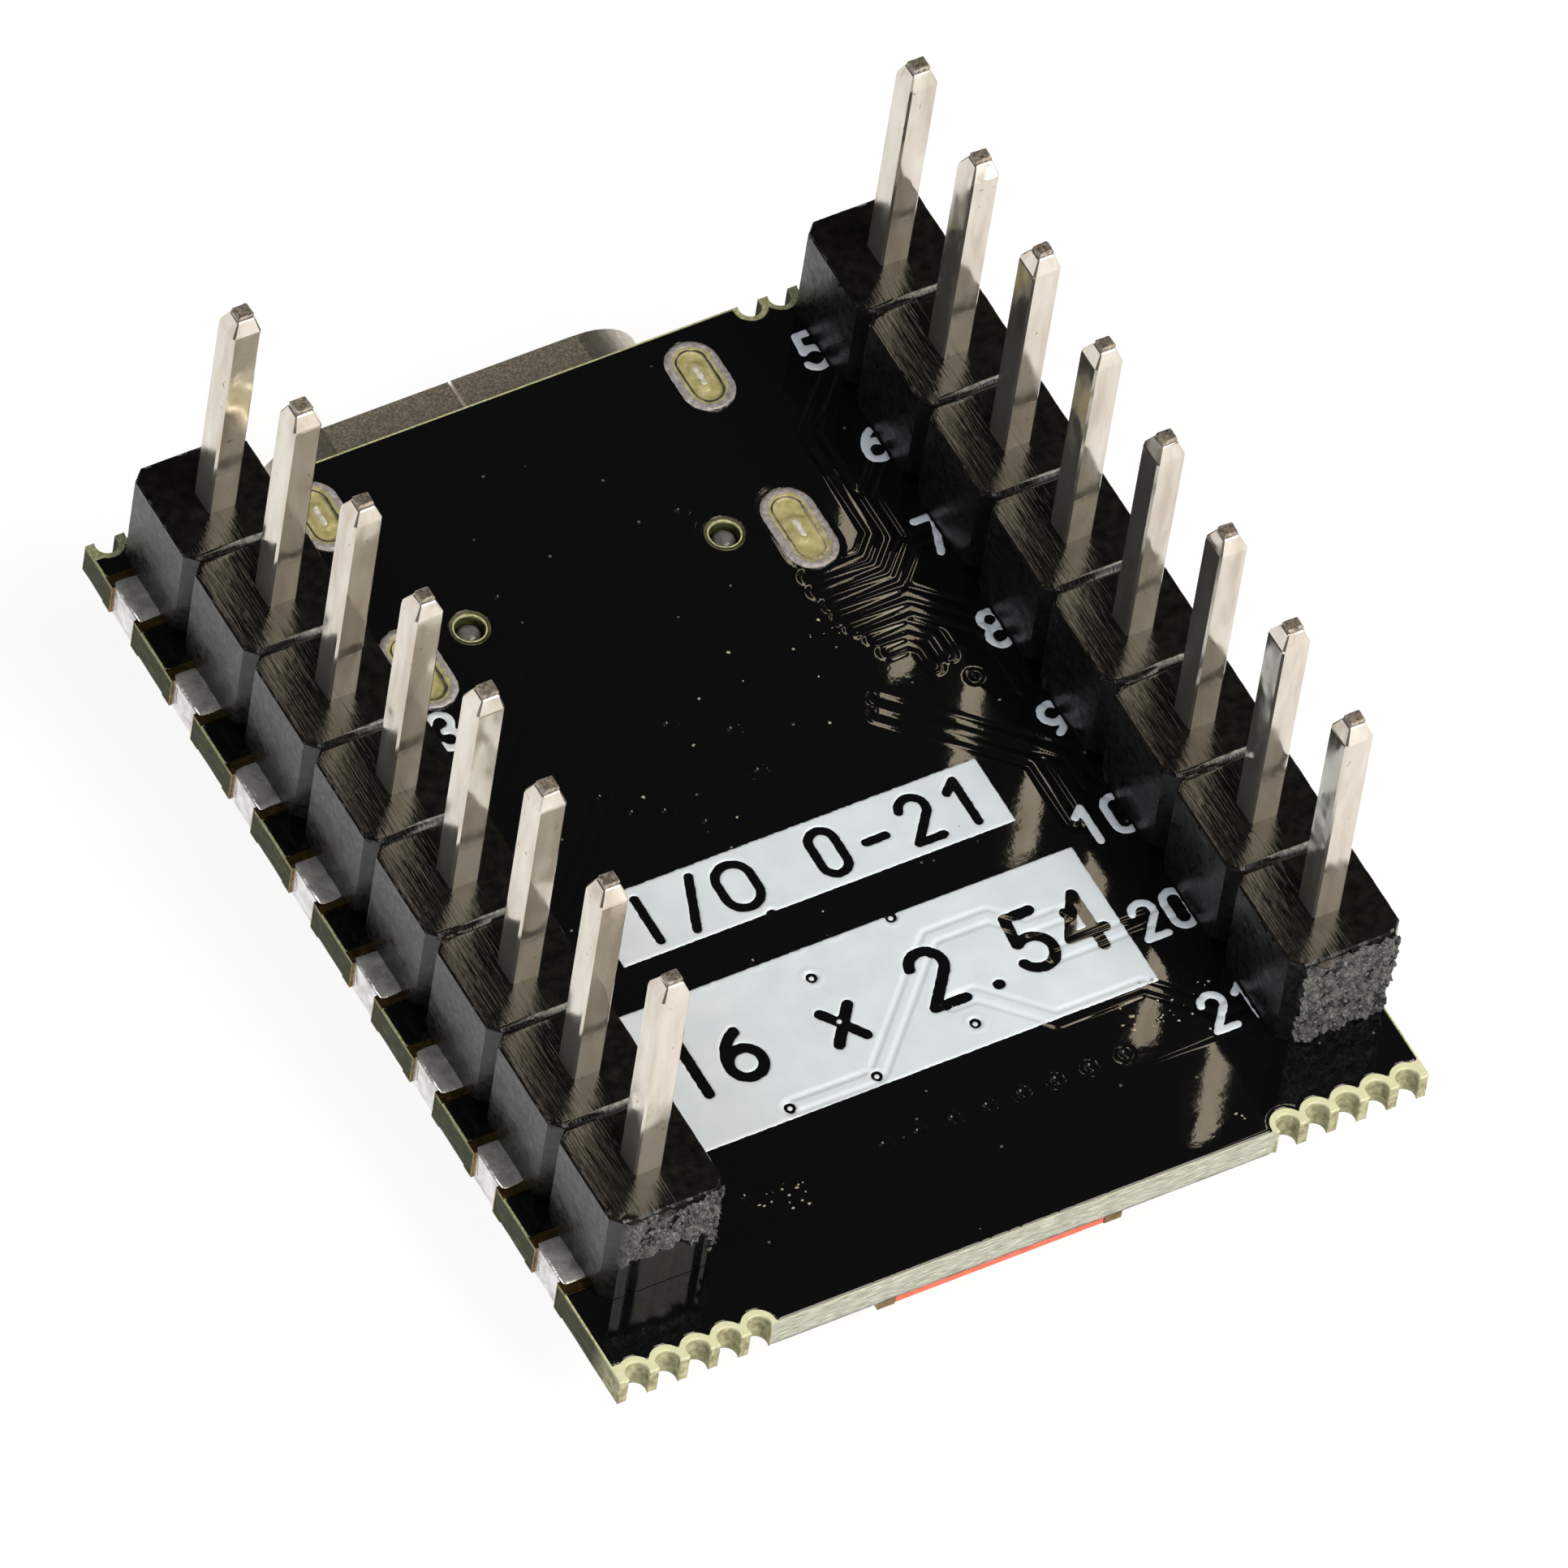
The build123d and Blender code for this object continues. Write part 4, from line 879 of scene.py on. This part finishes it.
def build_housing_top(side):
    low, high, scores = housing_shape(side)
    middle, half = (low[0] + high[0]) / 2, (high[0] - low[0]) / 2 - TOP_INSET
    corners = [low[1]] + scores + [high[1]]

    def signed(x, y):
        inside = half - abs(x - middle)
        worn = 0.012 * rough((x, y, 0), 7.0) + 0.010 * rough((x, y, 3), 18.0)
        torn = 0.07 * abs(rough((x, 0, 5), 3.5, 6)) + 0.03 * rough((x, 0, 1), 11.0)
        near = min(y - low[1] - torn, high[1] - y - 0.8 * abs(torn), inside + worn)
        for corner in corners:
            if abs(y - corner) < 2 * NOTCH:
                near = min(near, (inside + abs(y - corner) - NOTCH) / math.sqrt(2) + worn)
        return near

    def height(x, y, inside):
        radius = 0.05
        edge = min(max((radius - inside) / radius, 0.0), 1.0)
        z = high[2] - radius * (1 - math.sqrt(1 - edge * edge))
        for score in scores:
            near = abs(y - score + 0.02 * rough((x, 0, score), 1.2))
            z -= 0.11 * max(0.0, 1 - near / 0.09)
        z -= (0.008 * abs(rough((x * 2.2 + y * 0.5, y * 0.25, 0), 2.0, 7))
              + 0.006 * abs(rough((x, y, 0), 9.0, 2)))
        if y < low[1] + 0.25:
            z -= 0.10 * max(0.0, rough((x, y, 2), 3.0, 4)) * (low[1] + 0.25 - y) / 0.25
        return min(z - 0.02, high[2])

    skin = Skin(signed, height, (low[0], high[0], low[1], high[1]), 0.05)
    points, faces = skin.build(high[2] - 0.16)
    made = mesh_object(f"housing_top_{side}", points, faces, FINISHES["header_top"])
    made.data.set_sharp_from_angle(angle=SHARP)
    return finish_piece(made, "board", "header_plastic", f"header_housing_{side}")


def build_housing_walls(side):
    low, high, scores = housing_shape(side)
    outline = [(low[0] + NOTCH, low[1]), (high[0] - NOTCH, low[1])]
    right = []
    for y in [low[1]] + scores:
        if y > low[1]:
            right += [(high[0], y - NOTCH), (high[0] - NOTCH, y)]
        right.append((high[0], y + NOTCH))
    right.append((high[0], high[1] - NOTCH))
    outline += right + [(high[0] - NOTCH, high[1]), (low[0] + NOTCH, high[1])]
    outline += [(low[0] + high[0] - x, y) for x, y in reversed(right)]
    ring = resampled(outline, 0.055)
    torn_from = 0.0 if side == "right" else 1.45     # one end tore right through, one at the top only
    levels = list(np.arange(0.0, high[2] - 0.08, 0.065)) + [high[2] - 0.07]
    points, faces, torn_points = [], [], []
    for z in levels:
        for x, y in ring:
            raised = z
            if z < 0.16 and any(abs(y - score) < 0.35 for score in scores):
                raised = 0.15
            torn = y < low[1] + 0.02 and z > torn_from - 0.25 * (1 + rough((x, 0, 0), 2.5, 3))
            if torn:
                grain = (rough((x, 0, z), 2.2, 4) * 0.16 + rough((x, 0, z), 6.0, 1) * 0.12
                         + rough((x, 0, z), 15.0, 2) * 0.09)
                y -= 0.07 + grain
                x += 0.05 * rough((x, 1, z), 9.0, 6)
            elif y < low[1] + 0.02:
                slot = (math.exp(-((x - low[0] - 0.62) / 0.07) ** 2)
                        + math.exp(-((x - high[0] + 0.45) / 0.05) ** 2))
                y += 0.10 * slot + 0.03 * abs(rough((x * 3, 0, z * 0.4), 2.0))
            else:
                outward = 0.007 * rough((x, y, z), 3.0) + 0.004 * rough((x, y, z), 12.0, 2) - WALL_INSET
                x += outward if x > (low[0] + high[0]) / 2 else -outward
            points.append((x, y, raised))
            torn_points.append(torn)
    count = len(ring)
    for row in range(len(levels) - 1):
        for k in range(count):
            a, b = row * count + k, row * count + (k + 1) % count
            faces.append([a, b, b + count, a + count])
    inner_start = len(points)
    centre_x = (low[0] + high[0]) / 2
    for x, y in ring:                        # a lip under the edge of the top
        points.append((x + (0.15 if x < centre_x else -0.15), min(max(y, low[1] + 0.12), high[1] - 0.12),
                       high[2] - 0.12))
    for k in range(count):
        a, b = (len(levels) - 1) * count + k, (len(levels) - 1) * count + (k + 1) % count
        faces.append([a, b, inner_start + (k + 1) % count, inner_start + k])
    flat = [[Vector((*points[k][:2], 0)) for k in range(count)]]
    faces += [list(triangle)[::-1] for triangle in tessellate_polygon(flat)]
    made = mesh_object(f"housing_walls_{side}", points, faces, FINISHES["header_plastic"])
    made.data.materials.append(FINISHES["header_torn"])
    for polygon in made.data.polygons:
        if all(vert < len(torn_points) and torn_points[vert] for vert in polygon.vertices):
            polygon.material_index = 1
    made.data.set_sharp_from_angle(angle=SHARP)
    return finish_piece(made, "board", "header_plastic", f"header_housing_{side}")


def build_score_lips(side):
    """The burr thrown up beside each score: a rough-edged thread that stops short of one side, coloured light
    grey as a painted highlight along the score.
    """
    low, high, scores = housing_shape(side)
    points, faces = [], []
    for score in scores:
        first = low[0] + NOTCH + 0.42 + 0.2 * rough((score, 0, 0), 1.3)
        xs = np.arange(first, high[0] - NOTCH - 0.02, 0.035)
        start = len(points)
        for k, x in enumerate(xs):
            grown = min(1.0, (k + 1) / 14)
            thick = 0.036 * grown * (1 + 0.3 * rough((x, score, 0), 5.0))
            y = score + 0.115 - 0.02 * rough((x, 0, score), 1.2) + 0.004 * rough((x, score, 2), 8.0)
            top = high[2] - 0.004 - 0.018 * (1 - grown) - 0.006 * abs(rough((x, score, 4), 7.0))
            points += [(x, y - thick, high[2] - 0.05), (x, y - 0.5 * thick, top),
                       (x, y + 0.5 * thick, top - 0.003),
                       (x, y + thick, high[2] - 0.05)]
        for k in range(len(xs) - 1):
            for side_face in range(3):
                a = start + 4 * k + side_face
                faces.append([a, a + 4, a + 5, a + 1])
    made = mesh_object(f"score_lips_{side}", points, faces, FINISHES["score_lip_highlight"])
    return finish_piece(made, "board", "header_plastic")


# a grain is a small uneven octahedron: its six corners and eight faces
GRAIN_TURNS = ((1, 0, 0), (-1, 0, 0), (0, 1, 0), (0, -1, 0), (0, 0, 1), (0, 0, -1))
GRAIN_FACES = ((0, 2, 4), (2, 1, 4), (1, 3, 4), (3, 0, 4), (2, 0, 5), (1, 2, 5), (3, 1, 5), (0, 3, 5))
GRAIN_CLEAR = 0.02                           # grains stay this far inside the moulding's side and top


def build_torn_grains(side):
    """Grains that stand out of the snapped end, thickest where the last segment let go."""
    low, high, _ = housing_shape(side)
    rng = random.Random(23)
    bottom = 0.15 if side == "right" else 1.65
    places = []
    for _ in range(80):
        places.append((rng.uniform(low[0] + 0.3, high[0] - 0.25), low[1] - rng.uniform(0.03, 0.12),
                       rng.uniform(bottom, high[2] - 0.12)))
    for _ in range(60):                      # thicker on the outer corner, or down the inner one in a fringe
        along = rng.random()
        z = rng.uniform(1.15, 2.10) if side == "right" else rng.uniform(0.5, 2.35)
        places.append((high[0] - NOTCH * (1 - along), low[1] + NOTCH * along - rng.uniform(0.0, 0.10), z))
    points, faces = [], []
    for x, y, z in places:
        size = rng.uniform(0.035, 0.10)
        start = len(points)
        for dx, dy, dz in GRAIN_TURNS:
            reach = size * rng.uniform(0.6, 1.4)
            px = min(x + dx * reach + rng.uniform(-0.4, 0.4) * size, high[0] - GRAIN_CLEAR)
            points.append((px, y + dy * reach, min(z + dz * reach, high[2] - GRAIN_CLEAR)))
        for a, b, c in GRAIN_FACES:
            faces.append([start + a, start + b, start + c])
    made = mesh_object(f"torn_grains_{side}", points, faces, FINISHES["header_torn"], False)
    return finish_piece(made, "board", "header_plastic")


def build_dust():
    """Crumbs of flux and board left by the snapping: tiny irregular grains that rest on the mask."""
    rng = random.Random(11)
    patches = [((4.60, -8.45), 0.45, 34), ((-4.20, -9.30), 0.28, 16), ((3.10, 2.30), 0.35, 10),
               ((0.0, 0.0), 4.5, 26),
               ((4.75, -11.35), 0.12, 3)]
    points, faces = [], []
    for (cx, cy), spread, count in patches:
        for _ in range(count):
            x, y = cx + rng.gauss(0, spread), cy + rng.gauss(0, spread * 0.8)
            if abs(x) > 6.1:
                continue
            size = rng.uniform(0.014, 0.045)
            start = len(points)
            for dx, dy, dz in GRAIN_TURNS:
                stretch = rng.uniform(0.5, 1.3) * size
                points.append((x + dx * stretch + rng.uniform(-0.3, 0.3) * size, y + dy * stretch,
                               0.012 + dz * stretch * 0.7))
            for a, b, c in GRAIN_FACES:
                faces.append([start + a, start + b, start + c])
    made = mesh_object("crumbs", points, faces, FINISHES["crumb"], False)
    return finish_piece(made, "board", "glass_epoxy")


build_core()
build_edge_solder()
build_leg_joints()
build_pegs()
for side in ("left", "right"):
    build_housing_top(side)
    build_housing_walls(side)
    build_score_lips(side)
    build_torn_grains(side)
build_dust()


# ---- header pins: drawn square wire, tapered ends, rough sheared tips ----
def pin_mesh(low, high, rng):
    """Points and faces of one pin between the two corners of its box."""
    cx, cy = (low[0] + high[0]) / 2, (low[1] + high[1]) / 2
    half, corner = (high[0] - low[0]) / 2, 0.045
    top, bottom = high[2], low[2]
    tip_x, tip_y = 0.17 + rng.uniform(-0.01, 0.02), 0.15 + rng.uniform(-0.01, 0.02)
    shift_x, shift_y = rng.uniform(-0.025, 0.025), rng.uniform(-0.025, 0.025)
    rings = []

    def ring(z, half_x, half_y, cut, dx=0.0, dy=0.0, ragged=0.0):
        points = []
        for sx, sy in ((-1, -1), (1, -1), (1, 1), (-1, 1)):
            first, second = ((cut, 0), (0, cut)) if sx * sy > 0 else ((0, cut), (cut, 0))
            for ox, oy in (second, first):
                px = cx + dx + sx * (half_x - ox) + rng.uniform(-ragged, ragged)
                py = cy + dy + sy * (half_y - oy) + rng.uniform(-ragged, ragged)
                points.append((px, py, z + rng.uniform(-ragged, 0) * 1.5))
        rings.append(points)

    ring(bottom, 0.15, 0.15, 0.02, ragged=0.01)
    ring(bottom + 0.06, 0.17, 0.17, 0.02)
    ring(bottom + 0.40, half - 0.008, half - 0.008, corner)
    ring(bottom + 0.46, half, half, corner)
    ring(top - 0.50, half, half, corner)
    ring(top - 0.44, half - 0.006, half - 0.006, corner)
    ring(top - 0.15, tip_x + 0.02, tip_y + 0.02, 0.025, shift_x, shift_y)
    ring(top - 0.12, tip_x, tip_y, 0.02, shift_x, shift_y, 0.004)
    ring(top - 0.04, tip_x, tip_y, 0.02, shift_x, shift_y, 0.012)
    ring(top, tip_x - 0.03, tip_y - 0.03, 0.02, shift_x, shift_y, 0.015)
    points = [point for one in rings for point in one]
    faces = [list(range(7, -1, -1))]
    for r in range(len(rings) - 1):
        for k in range(8):
            a, b = r * 8 + k, r * 8 + (k + 1) % 8
            faces.append([a, b, b + 8, a + 8])
    last = (len(rings) - 1) * 8
    faces.append([last + k for k in range(8)])
    return points, faces


def build_pins():
    rng = random.Random(7)
    for side in ("left", "right"):
        points, faces = [], []
        for low, high in islands(f"header_pins_{side}"):
            part, sides = pin_mesh(low, high, rng)
            faces += [[vert + len(points) for vert in face] for face in sides]
            points += part
        made = mesh_object(f"pins_{side}", points, faces, FINISHES["pin_tin"], False)
        made.data.materials.append(FINISHES["pin_shear"])
        sheared = box_mm(f"header_pins_{side}")[1][2] - 0.13
        for polygon in made.data.polygons:
            lowest = min(made.data.vertices[v].co.z for v in polygon.vertices)
            polygon.material_index = int(lowest > sheared * MM)
        finish_piece(made, "board", "pin_tin", f"header_pins_{side}")


build_pins()


def build_domes():
    for name in ("boot", "reset"):
        made = nodes[f"{name}_button_dome"].copy()
        made.data = made.data.copy()
        made.name = made.data.name = f"{name}_dome_spring"
        bpy.context.scene.collection.objects.link(made)
        low, high = box_mm(f"{name}_button_dome")
        centre = (low + high) / 2
        finish_piece(made, "board", "dome_steel", f"{name}_button_dome")
        tuple(c * MM for c in (*centre[:2], high[2]))
        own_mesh(made)


build_domes()


# ---- stage: pale floor that the board rests on, soft lights, camera ----
REST = Vector((0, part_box("usb_shell")[0].y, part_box("usb_shell")[0].z))
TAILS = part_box("header_pins_left")[0]        # it lies on the socket's rear edge and the last pin tails
TILT = math.atan((TAILS.z - 0.02 * MM - REST.z) / (REST.y - TAILS.y))


def build_floor():
    made = bpy.data.meshes.new("floor")
    work = bmesh.new()
    bmesh.ops.create_grid(work, x_segments=24, y_segments=24, size=1.6)
    bmesh.ops.rotate(work, verts=work.verts, cent=(0, 0, 0), matrix=Matrix.Rotation(-TILT, 3, "X"))
    bmesh.ops.translate(work, verts=work.verts, vec=REST)
    work.to_mesh(made)
    work.free()
    floor = bpy.data.objects.new("floor", made)
    bpy.context.scene.collection.objects.link(floor)
    paper = Finish("floor_paper", (0.16, 0.16, 0.16), 0.9, Specular_IOR_Level=0.1, Emission_Strength=0.88)
    paper.shader.inputs["Emission Color"].default_value = (1, 1, 1, 1)
    paper.colour(paper.ramp(paper.noise((3.0,) * 3, 2.0),
                            [(0.3, (0.155, 0.155, 0.155)), (0.7, (0.17, 0.17, 0.17))]))
    made.materials.append(paper.material)
    return floor


def soft_light(name, place, size, power, colour=(1, 1, 1)):
    data = bpy.data.lights.new(name, "AREA")
    data.shape = "SQUARE"
    data.size = size * MM
    data.energy = power
    data.color = colour
    made = bpy.data.objects.new(name, data)
    made.location = Vector(place) * MM
    made.rotation_euler = (-made.location).to_track_quat("-Z", "Y").to_euler()
    bpy.context.scene.collection.objects.link(made)
    return made


def build_world(strength):
    world = bpy.data.worlds.new("studio")
    bpy.context.scene.world = world
    world.use_nodes = True
    world.node_tree.nodes["Background"].inputs["Color"].default_value = (1, 1, 1, 1)
    world.node_tree.nodes["Background"].inputs["Strength"].default_value = strength


def build_camera():
    forward = Vector((0.36028, 0.49165, -0.79277)).normalized()
    right = Vector((0.87365, -0.47575, 0.10200))
    right = (right - forward * right.dot(forward)).normalized()
    up = right.cross(forward)
    data = bpy.data.cameras.new("camera")
    data.lens = 696.18
    data.sensor_width = 36.0
    data.clip_start, data.clip_end = 0.05, 5.0
    camera = bpy.data.objects.new("camera", data)
    turn = Matrix((right, up, -forward)).transposed().to_4x4()
    camera.matrix_world = Matrix.Translation(Vector((-0.21568418, -0.29540034, 0.47562525))) @ turn
    bpy.context.scene.collection.objects.link(camera)
    bpy.context.scene.camera = camera


build_floor()
build_world(0.04)
soft_light("key_front_right", (140, -265, 400), 330, 2.75, (1.0, 0.92, 0.76))
soft_light("fill_left", (-420, 40, 300), 320, 1.1, (0.97, 0.99, 1.0))
soft_light("fill_front", (60, -440, 190), 300, 1.5, (1.0, 0.98, 0.96))
build_camera()
bpy.context.scene.view_settings.view_transform = "Standard"
